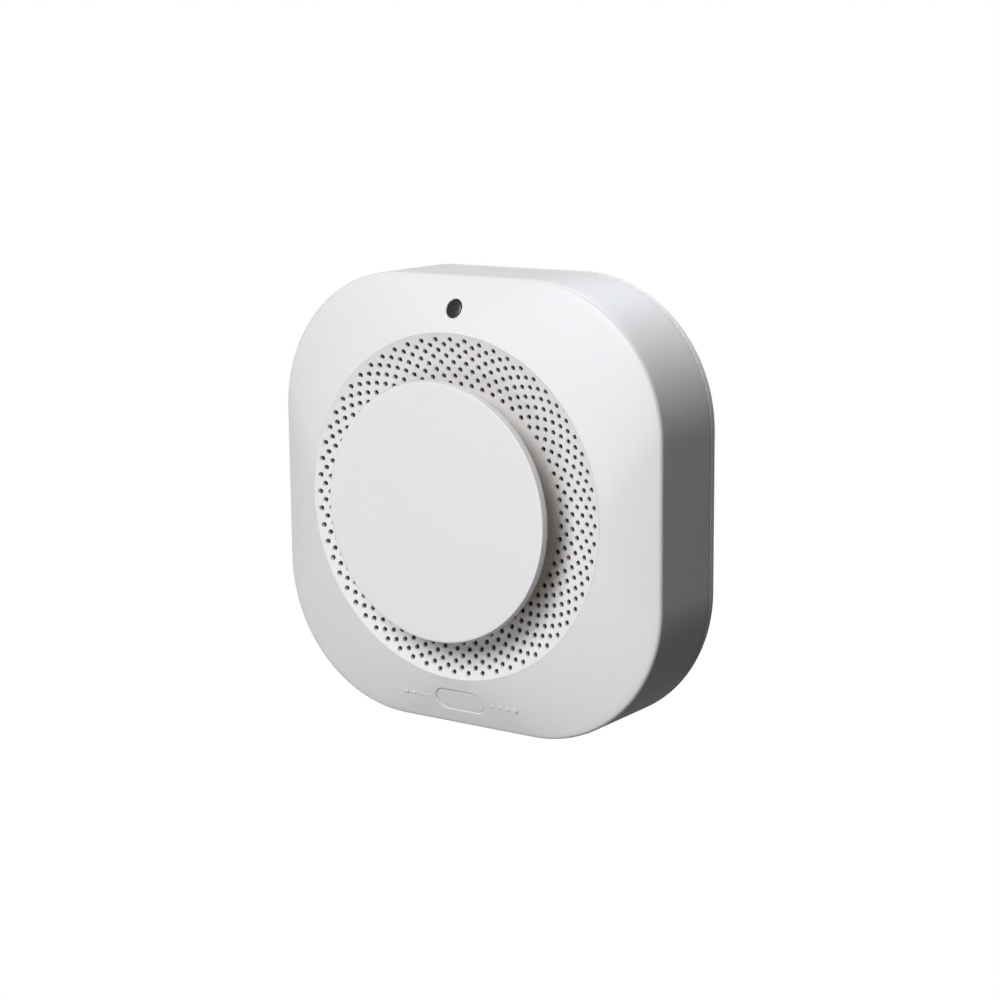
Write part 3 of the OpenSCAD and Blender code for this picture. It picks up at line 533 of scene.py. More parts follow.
def makeFrontCover():
    half, corner, steps = cover["half"], cover["corner"], cover["steps"]
    crestOut, seam, edge = faceLine(cover["bore"]), cover["seamOut"], cover["edge"]
    first, slopeLoops, edgeLoops = cover["firstLoop"], cover["slopeLoops"], cover["edgeLoops"]
    stations = [faceStation(first + (1 - first) * i / slopeLoops) for i in range(1, slopeLoops + 1)]
    for i in range(1, edgeLoops + 1):
        angle = math.radians(cover["edgeTurn"] * (1 - i / edgeLoops))
        back = edge * (1 - math.cos(angle))
        turned = math.sin(math.radians(cover["edgeTurn"])) - math.sin(angle)
        stations.append((half - back, corner - back, cover["faceOut"] - edge * turned))
    stations += [(half, corner, out) for out in cover["wallLoops"]]
    stations += [(half - inward, corner - inward, seam + over) for inward, over in cover["seamProfile"]]
    stations.append((half - cover["wall"], corner - cover["wall"], seam))
    for share in cover["underLoops"]:
        stations.append(faceStation(share, inset=cover["underInset"], sunk=cover["underDepth"]))
    loops = [circleLoop(cover["bore"], out, steps) for out in (crestOut - cover["boreDepth"], crestOut)]
    loops += [squareLoop(*station, steps) for station in stations]
    shape = bmesh.new()
    loftLoops(shape, loops, wrap=True)
    return newObject("frontCoverShell", meshOf(shape, "frontCoverShell"), "mouldedAbs")


buttonFacts = {
    "width": 13.3, "height": 5.0, "up": -46.8, "gap": 0.06, "sunk": 0.18, "bottom": buttonLow[2],
    "round": 0.12,            # rounding of its edge, and the shares of it across and down at each loop
    "roundProfile": ((0, 1), (0.12, 0.5), (0.4, 0.15), (1, 0)),
    # mm past the gap, and over the face
    "wellProfile": ((0, -0.3), (0.07, -0.14), (0.17, -0.05), (0.34, 0.015)),
    "wellReach": (15, 40),    # heights between which the well is cut
    "innerLoop": 1.4, "overlap": 0.4,
    "legIn": 4.6,             # mm from the middle to the end legs
    "legMiddle": 0.8,         # share of the half width where a leg's ends are closed
    "roof": 24.5,             # underside of the plate between the legs
    "stem": 1.5, "stemLow": 24.0, "stemSink": 0.5,
    "earWidth": 2.4, "earThick": 0.8, "earReach": 1.0, "earSink": 1.0,
}
lensFacts = {
    "radius": 2.08, "up": 46.2, "gap": 0.07, "proud": 0.25, "curve": 12.0, "edge": 0.3,
    "flange": 3.1, "flangeThick": 1.0, "pipe": 1.3,
    "wellProfile": ((0, -0.2), (0.05, -0.08), (0.18, 0.02)),  # mm past the gap, and over the face
    "wellReach": 10,          # mm that the cut goes under and over the face
    "steps": 64,
}
frontFittings = {             # all in mm
    "collar": 3.2, "collarGap": 0.3, "collarLow": 25.4, "collarHigh": 27.3,
    "lensBoss": 3.6, "lensBossLow": 23.1,
    "guide": 1.2, "guideLow": 23.8,
    "bossPlace": 39.0, "bossRadius": 3.3, "boreRadius": 1.3, "bossLow": 10.0, "thread": 7.0,
    "rib": 1.2, "ribSink": 0.2,
}


def makeButtonCutter():
    # Pill-shaped well that opens out a little where it meets the face
    facts = buttonFacts
    low, high = facts["wellReach"]
    top = lambda lift: (lambda x, y: faceOutAt(x, y + facts["up"]) + lift)
    profile = [(0, lambda x, y: low)] + [(grow, top(lift)) for grow, lift in facts["wellProfile"]]
    profile.append((facts["wellProfile"][-1][0], lambda x, y: high))
    loops = [[(0, facts["up"], low)]]
    for grow, outOf in profile:
        loop = pillLoop(facts["width"], facts["height"], -(facts["gap"] + grow), outOf)
        loops.append([(x, y + facts["up"], out) for x, y, out in loop])
    shape = bmesh.new()
    loftLoops(shape, loops + [[(0, facts["up"], high)]])
    return newObject("buttonCutter", meshOf(shape, "buttonCutter"))


def lensFace():
    # Height of the face behind the lens, and how much it falls for each mm upwards
    up = lensFacts["up"]
    return faceOutAt(0, up), (faceOutAt(0, up - 1) - faceOutAt(0, up + 1)) / 2


def makeLensCutter():
    facts = lensFacts
    up, reach = facts["up"], facts["wellReach"]
    face, slope = lensFace()
    loops = [[(0, up, face - reach)]]
    for grow, lift in ((0, -reach), *facts["wellProfile"], (facts["wellProfile"][-1][0], reach)):
        flat = circleLoop(facts["radius"] + facts["gap"] + grow, 0, facts["steps"], (0, up))
        loops.append([(x, y, face + lift - slope * (y - up)) for x, y, _ in flat])
    shape = bmesh.new()
    loftLoops(shape, loops + [[(0, up, face + reach)]])
    return newObject("lensCutter", meshOf(shape, "lensCutter"))


def addFrontFittings(piece):
    # Inside of the cover: grille collar, lens boss, button guide and four screw bosses with ribs
    facts = frontFittings
    under = lambda x, y: faceOutAt(x, y) - cover["wall"] / 2
    shape = bmesh.new()
    steps = 120
    addTube(shape, flatCircle(cover["bore"] + facts["collar"], steps),
            flatCircle(cover["bore"] + facts["collarGap"], steps), facts["collarLow"], facts["collarHigh"])
    lensPlace = (0, lensFacts["up"])
    addTube(shape, flatCircle(facts["lensBoss"], 48, lensPlace),
            flatCircle(lensFacts["radius"] + lensFacts["gap"], 48, lensPlace), facts["lensBossLow"], under)
    width, height, gap = buttonFacts["width"], buttonFacts["height"], buttonFacts["gap"]
    addTube(shape, flatPill(width + 2 * facts["guide"], height + 2 * facts["guide"], buttonFacts["up"]),
            flatPill(width + 2 * gap, height + 2 * gap, buttonFacts["up"]), facts["guideLow"], under)
    top = cover["faceOut"] - cover["wall"] / 2
    low, bored = facts["bossLow"], facts["bossLow"] + facts["thread"]
    outerR, boreR = facts["bossRadius"], facts["boreRadius"]
    reach = facts["bossPlace"] * math.sqrt(2)
    for turn in (45, 135, 225, 315):
        centre = (reach * math.cos(math.radians(turn)), reach * math.sin(math.radians(turn)))
        profile = [(0, top), (outerR, top), (outerR, low), (boreR, low), (boreR, bored), (0, bored)]
        spinProfile(shape, profile, 40, centre)
        ribEnd = reach + outerR + cover["wall"] / 2
        addBlock(shape, (reach + outerR - facts["ribSink"], -facts["rib"] / 2, low),
                 (ribEnd, facts["rib"] / 2, top), turn)
    joinShape(piece, shape)


frontShell = makeFrontCover()
cutBy(frontShell, [makeButtonCutter(), makeLensCutter()])
addFrontFittings(frontShell)
settle(frontShell, "detector", "white_plastic", "front_cover")
print("front cover made")


# Sound grille: a hollow dish of perforated sheet, laid out by one repeated cell

grille = {
    "holes": 60, "rings": 8, "holeDiameter": 1.2, "lip": 0.08,
    "outerRing": 39.27, "innerRing": 28.9, "ringEase": 0.2,
    "dishRadius": 24.5,       # radius of the dish's lowest circle
    "curve": 49.8,            # radius of the hollow curve
    "thickness": 0.75,        # of the perforated sheet as the photo shows it
    "crest": cover["bore"] - 0.03, "edge": grilleHigh[0],
    "rimMiddle": 40.4,        # radius of the loop between the outermost holes and the crest
    "flange": (24.2, 25.4),   # heights of the flange under the cover's collar
    "underRim": ((3, 24.2), (3, 25.2), (1.6, 25.6), (1.6, 26.6)),  # mm in from the crest, and height
    "footRadius": 26, "footUnder": 26.2,  # radii of the loops between the innermost holes and the neck
    "footCurve": ((0.4, 0), (0.05, 0.12), (0, 0.5)),  # mm out from the neck, and up its foot
    "steps": 240,
}
grille["low"] = faceLine(grille["crest"]) - grille["curve"] + math.sqrt(
    grille["curve"] ** 2 - (grille["crest"] - grille["dishRadius"]) ** 2)


def ringRadius(ring):
    share = ring / (grille["rings"] - 1)
    return grille["outerRing"] - (grille["outerRing"] - grille["innerRing"]) * (
        share + grille["ringEase"] * share * (share - 1))


def dishOut(radius):
    curve = grille["curve"]
    return grille["low"] + curve - math.sqrt(curve ** 2 - (radius - grille["dishRadius"]) ** 2)


def newTree(name, sockets):
    # A tree with named inputs of each kind and one for the material, and the sockets of their values
    tree = bpy.data.node_groups.new(name, "GeometryNodeTree")
    tree.interface.new_socket("Geometry", in_out="OUTPUT", socket_type="NodeSocketGeometry")
    for kind, socketNames in {**sockets, "Material": ["Material"]}.items():
        for socketName in socketNames:
            tree.interface.new_socket(socketName, in_out="INPUT", socket_type="NodeSocket" + kind)
    return tree, {socket.name: socket for socket in addNode(tree, "NodeGroupInput").outputs}


def endTree(tree, geometry, material):
    whole = addNode(tree, "GeometryNodeRealizeInstances", {"Geometry": geometry})
    finished = addNode(tree, "GeometryNodeSetMaterial", {"Geometry": whole, "Material": material})
    addNode(tree, "NodeGroupOutput", {0: finished})


def copiesTree(name, sockets, cellKind, cellSizes, steps):
    # Numbered copies of one cell. The steps work out, from a point's x, y, z in its cell and the number
    # of its copy, how far it lies along and aside from the middle, its turn about it and its height, in mm.
    # A step is (name, operation, values), each value a number or the name of an input or an earlier step.
    tree, values = newTree(name, sockets)
    position, index = (addNode(tree, "GeometryNodeInput" + kind) for kind in ("Position", "Index"))
    spot = addNode(tree, "ShaderNodeSeparateXYZ", {0: position}).outputs
    stored = addNode(tree, "GeometryNodeInputNamedAttribute", {"Name": "copy"}, data_type="INT")
    values.update(x=spot["X"], y=spot["Y"], z=spot["Z"], aside=0.0)
    values["copy"] = next(s for s in stored.outputs if s.enabled and s.type == "INT")
    for stepName, operation, *parts in steps:
        inputs = {i: values.get(part, part) for i, part in enumerate(parts)}
        values[stepName] = addNode(tree, "ShaderNodeMath", inputs, operation=operation).outputs[0]

    points = addNode(tree, "GeometryNodePoints", {"Count": values["copies"]})
    numbered = addNode(tree, "GeometryNodeStoreNamedAttribute", {
        "Geometry": points, "Name": "copy", "Value": index}, data_type="INT", domain="POINT")
    cell = addNode(tree, cellKind, cellSizes)
    placed = addNode(tree, "GeometryNodeInstanceOnPoints", {
        "Points": numbered, "Instance": cell.outputs["Mesh"]})
    real = addNode(tree, "GeometryNodeRealizeInstances", {"Geometry": placed})
    flat = addNode(tree, "ShaderNodeCombineXYZ", {0: values["along"], 1: values["aside"]})
    turned = addNode(tree, "ShaderNodeVectorRotate", {
        "Vector": flat, "Angle": values["turn"]}, rotation_type="Z_AXIS")
    upright = addNode(tree, "ShaderNodeSeparateXYZ", {0: turned}).outputs
    inward = addNode(tree, "ShaderNodeMath", {0: values["out"], 1: -1.0}, operation="MULTIPLY")
    place = addNode(tree, "ShaderNodeCombineXYZ", {0: upright["X"], 1: inward, 2: upright["Y"]})
    metres = addNode(tree, "ShaderNodeVectorMath", {0: place, "Scale": mm}, operation="SCALE")
    shaped = addNode(tree, "GeometryNodeSetPosition", {"Geometry": real, "Position": metres})
    merged = addNode(tree, "GeometryNodeMergeByDistance", {
        "Geometry": shaped, "Distance": cellWeldGap * mm})
    endTree(tree, merged, values["Material"])
    return tree


def perforatedTree():
    # One cell has 16 points round its hole. Its corners meet its neighbours' though rings are staggered.
    steps = [
        ("copies", "MULTIPLY", "Rings", "Holes"),
        # The ring of a cell, and its turn about the middle: every second ring is half a pitch on
        ("cellMiddle", "ADD", "copy", 0.5), ("ringsIn", "DIVIDE", "cellMiddle", "Holes"),
        ("ring", "FLOOR", "ringsIn"), ("cellsBefore", "MULTIPLY", "ring", "Holes"),
        ("cellInRing", "SUBTRACT", "copy", "cellsBefore"), ("oddRing", "MODULO", "ring", 2.0),
        ("pitches", "MULTIPLY_ADD", "oddRing", 0.5, "cellInRing"),
        ("pitchSum", "MULTIPLY", "pitches", 2 * math.pi), ("turn", "DIVIDE", "pitchSum", "Holes"),
        # Rows 0 and 4 of the cell are its lower and upper edge, 1 the hole's lower edge, 2 and 3 its lip
        ("rowShare", "ADD", "y", 0.5), ("rowExact", "MULTIPLY", "rowShare", 4.0),
        ("row", "ROUND", "rowExact"), ("isLip", "COMPARE", "row", 3.0, 0.1),
        ("isUnderLip", "COMPARE", "row", 2.0, 0.1), ("fromMiddleRow", "SUBTRACT", "row", 2.0),
        ("rowsOff", "ABSOLUTE", "fromMiddleRow"), ("isEdge", "GREATER_THAN", "rowsOff", 1.5),
        ("isLower", "LESS_THAN", "row", 1.5), ("around", "ADD", "x", 0.5),
        ("angle", "MULTIPLY", "around", 2 * math.pi), ("lastRing", "SUBTRACT", "Rings", 1.0),
    ]
    for side, shift in (("Aside", 0.0), ("Along", 0.75)):
        # 1, 0, -1, 0 over one turn round the cell, stretched so that it holds at the corners
        steps += [
            ("phase" + side, "ADD", "around", shift), ("wave" + side, "PINGPONG", "phase" + side, 0.5),
            ("steep" + side, "MULTIPLY_ADD", "wave" + side, -8.0, 2.0),
            ("capped" + side, "MINIMUM", "steep" + side, 1.0),
            ("corner" + side, "MAXIMUM", "capped" + side, -1.0)]
    steps.append(("edgeRing", "MULTIPLY_ADD", "cornerAlong", -0.5, "ring"))
    for name in ("ring", "edgeRing"):
        # Radius of a ring, which may lie between two: the rings stand a little closer inwards
        steps += [
            (name + "Share", "DIVIDE", name, "lastRing"),
            (name + "Less", "SUBTRACT", name + "Share", 1.0),
            (name + "Ease", "MULTIPLY_ADD", "Ring ease", name + "Less", 1.0),
            (name + "Eased", "MULTIPLY", name + "Share", name + "Ease"),
            (name + "Inward", "MULTIPLY", "Ring span", name + "Eased"),
            (name + "Radius", "SUBTRACT", "Outer ring", name + "Inward")]
    steps += [
        # Places on the hole's circle and on the cell's edge, of which a point takes one
        ("holeRadius", "MULTIPLY_ADD", "isLip", "Lip", "Hole radius"), ("sine", "SINE", "angle"),
        ("cosine", "COSINE", "angle"), ("holeAlong", "MULTIPLY_ADD", "holeRadius", "sine", "ringRadius"),
        ("holeAside", "MULTIPLY", "holeRadius", "cosine"), ("halfPitch", "DIVIDE", math.pi, "Holes"),
        ("edgeTurn", "MULTIPLY", "cornerAside", "halfPitch"), ("edgeCosine", "COSINE", "edgeTurn"),
        ("edgeSine", "SINE", "edgeTurn"), ("edgeAlong", "MULTIPLY", "edgeRingRadius", "edgeCosine"),
        ("edgeAside", "MULTIPLY", "edgeRingRadius", "edgeSine"),
        ("stepAlong", "SUBTRACT", "edgeAlong", "holeAlong"),
        ("stepAside", "SUBTRACT", "edgeAside", "holeAside"),
        ("along", "MULTIPLY_ADD", "stepAlong", "isEdge", "holeAlong"),
        ("aside", "MULTIPLY_ADD", "stepAside", "isEdge", "holeAside"),
        # Height on the hollow curve, lowered by the lip or the sheet's thickness
        ("asideSquare", "MULTIPLY", "aside", "aside"),
        ("radiusSquare", "MULTIPLY_ADD", "along", "along", "asideSquare"),
        ("radius", "SQRT", "radiusSquare"), ("fromLow", "SUBTRACT", "radius", "Low radius"),
        ("fromLowSquare", "MULTIPLY", "fromLow", "fromLow"),
        ("curveSquare", "MULTIPLY", "Curve radius", "Curve radius"),
        ("dropSquare", "SUBTRACT", "curveSquare", "fromLowSquare"), ("drop", "SQRT", "dropSquare"),
        ("curveOut", "ADD", "Low out", "Curve radius"), ("top", "SUBTRACT", "curveOut", "drop"),
        ("sheetDepth", "MULTIPLY", "isLower", "Thickness"),
        ("depth", "MULTIPLY_ADD", "isUnderLip", "Lip", "sheetDepth"), ("out", "SUBTRACT", "top", "depth"),
    ]
    sizes = ("Hole radius", "Lip", "Outer ring", "Ring span", "Ring ease", "Curve radius", "Low radius",
             "Low out", "Thickness")
    return copiesTree("perforatedDish", {"Int": ("Rings", "Holes"), "Float": sizes},
                      "GeometryNodeMeshGrid", {"Vertices X": 17, "Vertices Y": 5}, steps)


def runTree(name, tree, values):
    # The tree's result as a plain mesh object
    piece = newObject(name, bpy.data.meshes.new(name))
    modifier = piece.modifiers.new("shape", "NODES")
    modifier.node_group = tree
    for item in tree.interface.items_tree:
        if item.item_type == "SOCKET" and item.in_out == "INPUT":
            modifier[item.identifier] = values[item.name]
    applyModifiers(piece)
    return piece


# Black net behind the grille, put there as painted shade so that the grille's holes look dark inside
paintedShadeNetFacts = {"holeDiameter": 0.5, "lip": 0.02, "gap": 0.1, "thickness": 0.25, "outer": 39.85, "inner": 27.9}
neckFoot = dishOut(grille["dishRadius"])
neck = {
    "radius": 23.9, "wall": 1.5, "foot": neckFoot, "low": neckFoot + 1.0, "high": grilleHigh[2],
    "lintel": 2.0, "windows": 24, "windowWidth": 4.1, "overlap": 0.4,
}


def perforatedShape(material, values):
    # The holed part of a dish; values tells what differs from the grille
    facts = grille
    sheet = runTree("perforatedSheet", dishTree, {
        "Rings": facts["rings"], "Holes": facts["holes"], "Hole radius": facts["holeDiameter"] / 2,
        "Lip": facts["lip"], "Outer ring": facts["outerRing"],
        "Ring span": facts["outerRing"] - facts["innerRing"], "Ring ease": facts["ringEase"],
        "Curve radius": facts["curve"], "Low radius": facts["dishRadius"], "Low out": facts["low"],
        "Thickness": facts["thickness"], "Material": materials[material], **values})
    shape = bmesh.new()
    shape.from_mesh(sheet.data)
    bpy.data.objects.remove(sheet)
    return shape


def makeGrille():
    facts = grille
    shape = perforatedShape("mouldedAbs", {})

    # Rim: from the outermost holes over the crest, down to the flange and back underneath
    rimRadius = ringRadius(-0.5)
    thick, wallEdge = facts["thickness"], facts["crest"]
    flangeLow, flangeHigh = facts["flange"]
    profile = [(r, dishOut(r)) for r in (rimRadius, facts["rimMiddle"], wallEdge)]
    profile += [(wallEdge, flangeHigh), (facts["edge"], flangeHigh), (facts["edge"], flangeLow)]
    profile += [(wallEdge - inward, out) for inward, out in facts["underRim"]]
    profile.append((rimRadius, dishOut(rimRadius) - thick))
    spinProfile(shape, profile, facts["steps"])

    # Neck: from the innermost holes to the foot of the windowed ring
    neckRadius = ringRadius(facts["rings"] - 0.5)
    foot, outer, inner = neck["foot"], neck["radius"], neck["radius"] - neck["wall"]
    profile = [(r, dishOut(r)) for r in (neckRadius, facts["footRadius"])]
    profile += [(outer + away, foot + rise) for away, rise in facts["footCurve"]]
    profile += [(outer, neck["low"]), (inner, neck["low"]), (inner, foot - thick)]
    profile += [(r, dishOut(r) - thick) for r in (facts["dishRadius"], facts["footUnder"], neckRadius)]
    spinProfile(shape, profile, facts["steps"])

    return newObject("soundGrilleDish", meshOf(shape, "soundGrilleDish", 32), "mouldedAbs")


def makePaintedShadeNet():
    # Painted shade: a black net close behind the grille, standing in for the shade inside the holes; its
    # own holes lie between the grille's, so only dark shows
    facts = paintedShadeNetFacts
    lowered = grille["thickness"] + facts["gap"]
    rings, quarterPitch = grille["rings"] - 1, math.pi / 2 / grille["holes"]
    shape = perforatedShape("blackMouldedPlastic", {
        "Rings": rings, "Hole radius": facts["holeDiameter"] / 2, "Lip": facts["lip"],
        "Outer ring": ringRadius(0.5), "Ring span": ringRadius(0.5) - ringRadius(rings - 0.5),
        "Ring ease": grille["ringEase"] * (rings - 1) / rings,
        "Low out": grille["low"] - lowered, "Thickness": facts["thickness"]})
    shape.transform(Matrix.Rotation(quarterPitch, 4, "Y"))
    for start, end in ((ringRadius(0), facts["outer"]), (ringRadius(rings), facts["inner"])):
        ends = [(r, dishOut(r) - lowered) for r in (start, end)]
        ends += [(r, out - facts["thickness"]) for r, out in reversed(ends)]
        spinProfile(shape, ends, grille["steps"])
    return newObject("grilleNet", meshOf(shape, "grilleNet", 32), "blackMouldedPlastic")


dishTree = perforatedTree()
# Painted shade behind the grille's holes: a black net
grilleNet = makePaintedShadeNet()
settle(grilleNet, "detector", "black_plastic")
grilleDish = makeGrille()
settle(grilleDish, "detector", "white_plastic", "sound_grille")
print("sound grille made:", len(grilleDish.data.polygons), "faces")


def postTree():
    # Posts in a ring, standing between windows of one width
    sizes = ("Middle radius", "Wall", "Window width", "Low out", "High out")
    steps = [
        ("along", "MULTIPLY_ADD", "x", "Wall", "Middle radius"),
        ("pitch", "DIVIDE", 2 * math.pi, "copies"), ("halfWindow", "MULTIPLY", "Window width", 0.5),
        ("windowSine", "DIVIDE", "halfWindow", "along"), ("windowTurn", "ARCSINE", "windowSine"),
        ("halfPitch", "MULTIPLY", "pitch", 0.5), ("halfTurn", "SUBTRACT", "halfPitch", "windowTurn"),
        ("side", "MULTIPLY", "y", 2.0), ("sideTurn", "MULTIPLY", "side", "halfTurn"),
        ("turn", "MULTIPLY_ADD", "copy", "pitch", "sideTurn"), ("upShare", "ADD", "z", 0.5),
        ("height", "SUBTRACT", "High out", "Low out"),
        ("out", "MULTIPLY_ADD", "upShare", "height", "Low out"),
    ]
    return copiesTree("windowPosts", {"Int": ["copies"], "Float": sizes},
                      "GeometryNodeMeshCube", {"Size": (1, 1, 1)}, steps)


def makeNeck():
    # Top ring under the cap, standing on posts between the air windows
    facts = neck
    outer, inner = facts["radius"], facts["radius"] - facts["wall"]
    windowTop = facts["high"] - facts["lintel"]
    posts = runTree("windowPosts", postTree(), {
        "copies": facts["windows"], "Middle radius": (outer + inner) / 2, "Wall": facts["wall"],
        "Window width": facts["windowWidth"], "Low out": facts["low"] - facts["overlap"],
        "High out": windowTop + facts["overlap"], "Material": materials["mouldedAbs"]})
    shape = bmesh.new()
    shape.from_mesh(posts.data)
    bpy.data.objects.remove(posts)
    addTube(shape, *(flatCircle(r, grille["steps"]) for r in (outer, inner)), windowTop, facts["high"])
    return newObject("windowedNeck", meshOf(shape, "windowedNeck"), "mouldedAbs")


neckRing = makeNeck()
settle(neckRing, "detector", "white_plastic")
print("neck made")


# Smoke cap: a flat disc with a softly rounded rim, on a spigot

capLow, capHigh = extent("smoke_cap")
capFacts = {
    "radius": capHigh[0], "front": capHigh[2], "thickness": 1.5,
    "slant": 0.5, "slantDepth": 1.0,      # of the slanted rim
    # mm past the slant's inner end, and down from the front
    "crease": ((-0.6, 0), (-0.06, 0), (0.04, 0.05)),
    "rimFlare": 0.05, "rimRound": 0.2, "middleLoop": 0.5,
    "spigot": 22.2, "spigotWall": 1.0, "spigotLow": 33.6, "fillet": 0.3,
    "hookLow": 31.8, "hookTurns": (7.5, 127.5, 247.5), "hookHalf": 2, "hookThick": 1, "hookReach": 0.9,
    "hookSink": 0.5, "hookStep": 0.2,
    "steps": 240,
}


def makeCap():
    facts = capFacts
    radius, front, rounding = facts["radius"], facts["front"], facts["rimRound"]
    back, slantStart = front - facts["thickness"], radius - facts["slant"]
    profile = [(0, front), (radius * facts["middleLoop"], front)]
    profile += [(slantStart + past, front - down) for past, down in facts["crease"]]
    profile.append((radius - facts["rimFlare"], front - facts["slantDepth"]))
    profile += arcPoints((radius - rounding, back + rounding), rounding, 0, -90, 4)
    spigot, bore, fillet = facts["spigot"], facts["spigot"] - facts["spigotWall"], facts["fillet"]
    profile += [(spigot + fillet, back), (spigot, back - fillet), (spigot, facts["spigotLow"]),
                (bore, facts["spigotLow"]), (bore, back), (0, back)]
    shape = bmesh.new()
    spinProfile(shape, profile, facts["steps"])
    # Snap hooks that catch under the neck's top ring, each inside a window
    tail, half = facts["hookLow"], facts["hookHalf"]
    for turn in facts["hookTurns"]:
        addBlock(shape, (bore, -half, tail), (spigot - facts["hookStep"], half, back), turn)
        addBlock(shape, (spigot - facts["hookSink"], -half, tail),
                 (spigot + facts["hookReach"], half, tail + facts["hookThick"]), turn)
    return newObject("smokeCapDisc", meshOf(shape, "smokeCapDisc", 40), "mouldedAbs")


capDisc = makeCap()
settle(capDisc, "detector", "white_plastic", "smoke_cap")
print("smoke cap made")


def makeButton():
    facts = buttonFacts
    width, height, up, roof = facts["width"], facts["height"], facts["up"], facts["roof"]
    rounding, overlap = facts["round"], facts["overlap"]
    top = lambda drop: (lambda x, y: faceOutAt(x, y + up) - facts["sunk"] - drop)
    loops = [(0, lambda x, y: roof), (0, top(rounding + overlap))]
    loops += [(rounding * across, top(rounding * down)) for across, down in facts["roundProfile"]]
    loops += [(inset, top(0)) for inset in (rounding + 0.3, facts["innerLoop"], height / 2)]
    skins = [[(0, up, roof)]]
    for inset, outOf in loops:
        skins.append([(x, y + up, out) for x, y, out in pillLoop(width, height, inset, outOf)])
    shape = bmesh.new()
    loftLoops(shape, skins)
    # Under the plate: a stem over the switch, and legs at the ends with ears that hold the button in
    stem, stemLow, stemHigh = facts["stem"], facts["stemLow"], roof + facts["stemSink"]
    spinProfile(shape, ((0, stemLow), (stem, stemLow), (stem, stemHigh), (0, stemHigh)), 32, (0, up))
    low, legTop, earHalf = facts["bottom"], roof + overlap, facts["earWidth"] / 2
    for side in (-1, 1):
        leg = [(x, y) for x, y in flatPill(width, height, up) if x * side > facts["legIn"]]
        leg += [(side * facts["legIn"], up + side * share * height / 2) for share in (1, -1)]
        middle = (side * width / 2 * facts["legMiddle"], up)
        loftLoops(shape, [[(*middle, low)], [(x, y, low) for x, y in leg], [(x, y, legTop) for x, y in leg],
                          [(*middle, legTop)]])
        ends = sorted((side * (width / 2 - facts["earSink"]), side * (width / 2 + facts["earReach"])))
        addBlock(shape, (ends[0], up - earHalf, low), (ends[1], up + earHalf, low + facts["earThick"]))
    return newObject("testButtonCap", meshOf(shape, "testButtonCap", 40), "mouldedAbs")


testButton = makeButton()
settle(testButton, "test_button", "white_plastic", "test_button")
print("test button made")


def makeLens():
    facts = lensFacts
    radius, edge, centre = facts["radius"], facts["edge"], (0, facts["up"])
    face, slope = lensFace()
    flangeHigh = frontFittings["lensBossLow"]
    flangeLow = flangeHigh - facts["flangeThick"]
    pipe, flange = facts["pipe"], facts["flange"]
    profile = ((0, lensLow[2]), (pipe, lensLow[2]), (pipe, flangeLow), (flange, flangeLow),
               (flange, flangeHigh), (radius, flangeHigh))
    loops = [circleLoop(r, out, facts["steps"], centre) for r, out in profile]
    radii = [radius - edge + edge * math.cos(math.radians(angle)) for angle in range(0, 90, 15)]
    radii += [(radius - edge) * i / 8 for i in range(8, -1, -1)]
    for r in radii:
        crown = math.sqrt(facts["curve"] ** 2 - r * r) - facts["curve"] + facts["proud"]
        if r > radius - edge:
            crown -= edge - math.sqrt(max(edge ** 2 - (r - radius + edge) ** 2, 0))
        loops.append([(x, y, face + crown - slope * (y - facts["up"])) for x, y, _ in circleLoop(
            r, 0, facts["steps"], centre)])
    shape = bmesh.new()
    loftLoops(shape, loops)
    return newObject("indicatorLensDome", meshOf(shape, "indicatorLensDome", 40), "smokedAcrylic")


lensDome = makeLens()
settle(lensDome, "detector", "smoked_lens", "indicator_lens")
print("lens made")

# Two rows of plain raised dots beside the button

dots = {"count": 4, "pitch": 2.2, "radius": 0.65, "height": 0.14, "up": -46.8, "middles": (-12.5, 12.7)}


def dotTree():
    tree, given = newTree("dotRow", {
        "Int": ["Count"], "Float": ("Pitch", "Radius", "Flatness"), "Vector": ("First place", "Tilt")})
    offset = addNode(tree, "ShaderNodeCombineXYZ", {0: given["Pitch"]})
    row = addNode(tree, "GeometryNodeMeshLine", {
        "Count": given["Count"], "Start Location": given["First place"], "Offset": offset})
    ball = addNode(tree, "GeometryNodeMeshUVSphere", {
        "Segments": 24, "Rings": 12, "Radius": given["Radius"]})
    squash = addNode(tree, "ShaderNodeCombineXYZ", {0: 1, 1: 1, 2: given["Flatness"]})
    placed = addNode(tree, "GeometryNodeInstanceOnPoints", {
        "Points": row.outputs["Mesh"], "Instance": ball.outputs["Mesh"], "Rotation": given["Tilt"],
        "Scale": squash})
    endTree(tree, placed, given["Material"])
    return tree


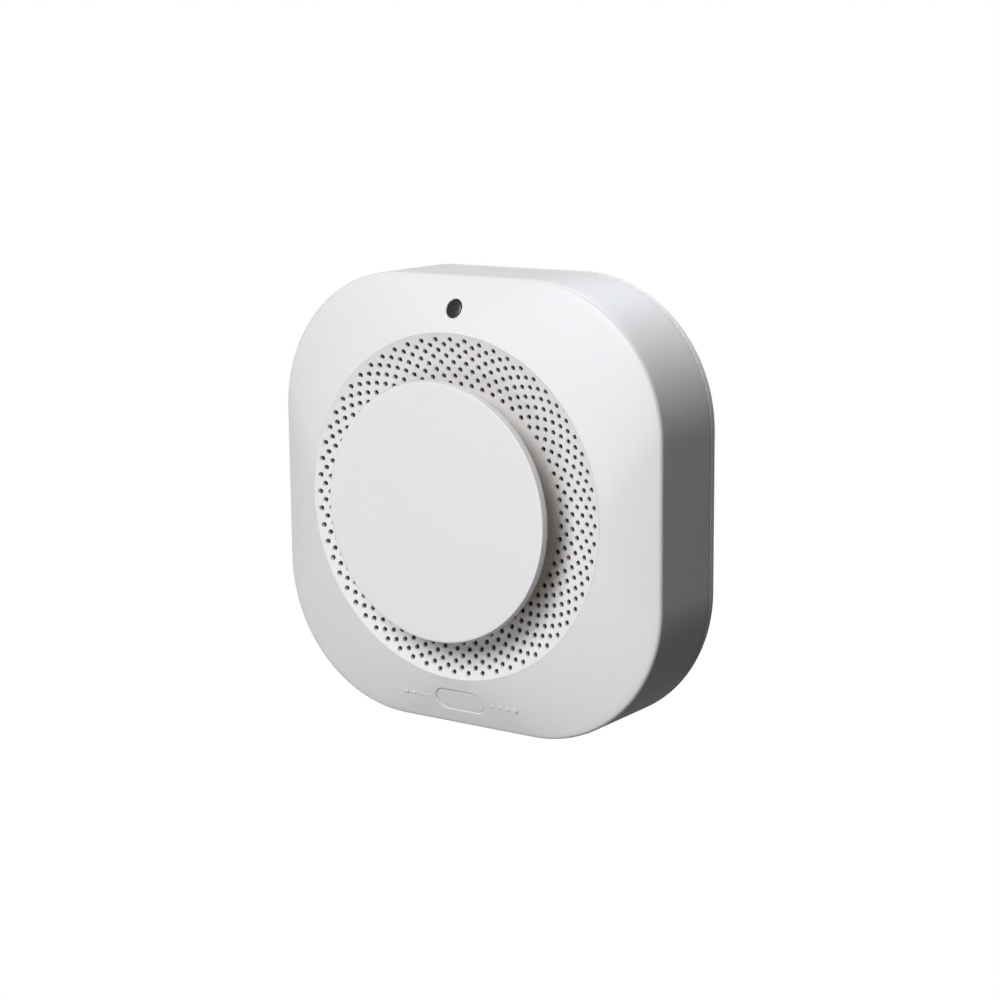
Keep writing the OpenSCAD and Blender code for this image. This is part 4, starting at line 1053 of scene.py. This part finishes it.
def makeDots():
    facts = dots
    tree = dotTree()
    up = facts["up"]
    slope = (faceOutAt(0, up + 1) - faceOutAt(0, up - 1)) / 2
    for name, middle in zip(("dotRowLeft", "dotRowRight"), facts["middles"]):
        first = middle - facts["pitch"] * (facts["count"] - 1) / 2
        row = runTree(name, tree, {
            "Count": facts["count"], "Pitch": facts["pitch"] * mm, "Radius": facts["radius"] * mm,
            "Flatness": facts["height"] / facts["radius"],
            "First place": at(first, up, faceOutAt(middle, up)),
            "Tilt": (math.pi / 2 + math.atan(slope), 0, 0), "Material": materials["mouldedAbs"]})
        row.data.shade_smooth()
        settle(row, "detector", "white_plastic")


makeDots()
print("dots made")

# The other pieces keep their CAD shape; each gets a merged, smoothly shaded copy

bodyOf = {node: body for body, nodes in frame["record"]["behaviour"]["bodies"].items() for node in nodes}
redrawn = ("front_cover", "sound_grille", "smoke_cap", "test_button", "indicator_lens")
copyFacts = {
    "merge": 0.0005,          # mm
    "flatTurn": 0.4,          # degrees between triangles that count as one plane
    "sharpAngle": 24,         # degrees from which an edge stays sharp
    "flatWeight": 80,         # how far large faces keep their own normal beside small roundings
}


def camelName(node):
    first, *rest = node.split("_")
    return first + "".join(word.capitalize() for word in rest)


def makeSmoothCopy(node):
    source = frame["nodes"][node]
    shape = bmesh.new()
    shape.from_mesh(source.data)
    shape.transform(source.matrix_world)
    bmesh.ops.remove_doubles(shape, verts=shape.verts, dist=copyFacts["merge"] * mm)
    # Triangles of one plane become one face, which frees it of slivers
    flatTurn = math.radians(copyFacts["flatTurn"])
    bmesh.ops.dissolve_limit(shape, angle_limit=flatTurn, verts=shape.verts, edges=shape.edges)
    mesh = meshOf(shape, camelName(node), copyFacts["sharpAngle"], fresh=False)
    piece = newObject(camelName(node), mesh, slotMaterials[nodeSlots[node]])
    weighting = piece.modifiers.new("weighting", "WEIGHTED_NORMAL")
    weighting.weight = copyFacts["flatWeight"]
    weighting.keep_sharp = True
    applyModifiers(piece)
    settle(piece, bodyOf[node], nodeSlots[node], node)


for nodeName in frame["nodes"]:
    if nodeName not in redrawn:
        makeSmoothCopy(nodeName)
print("smooth copies made")
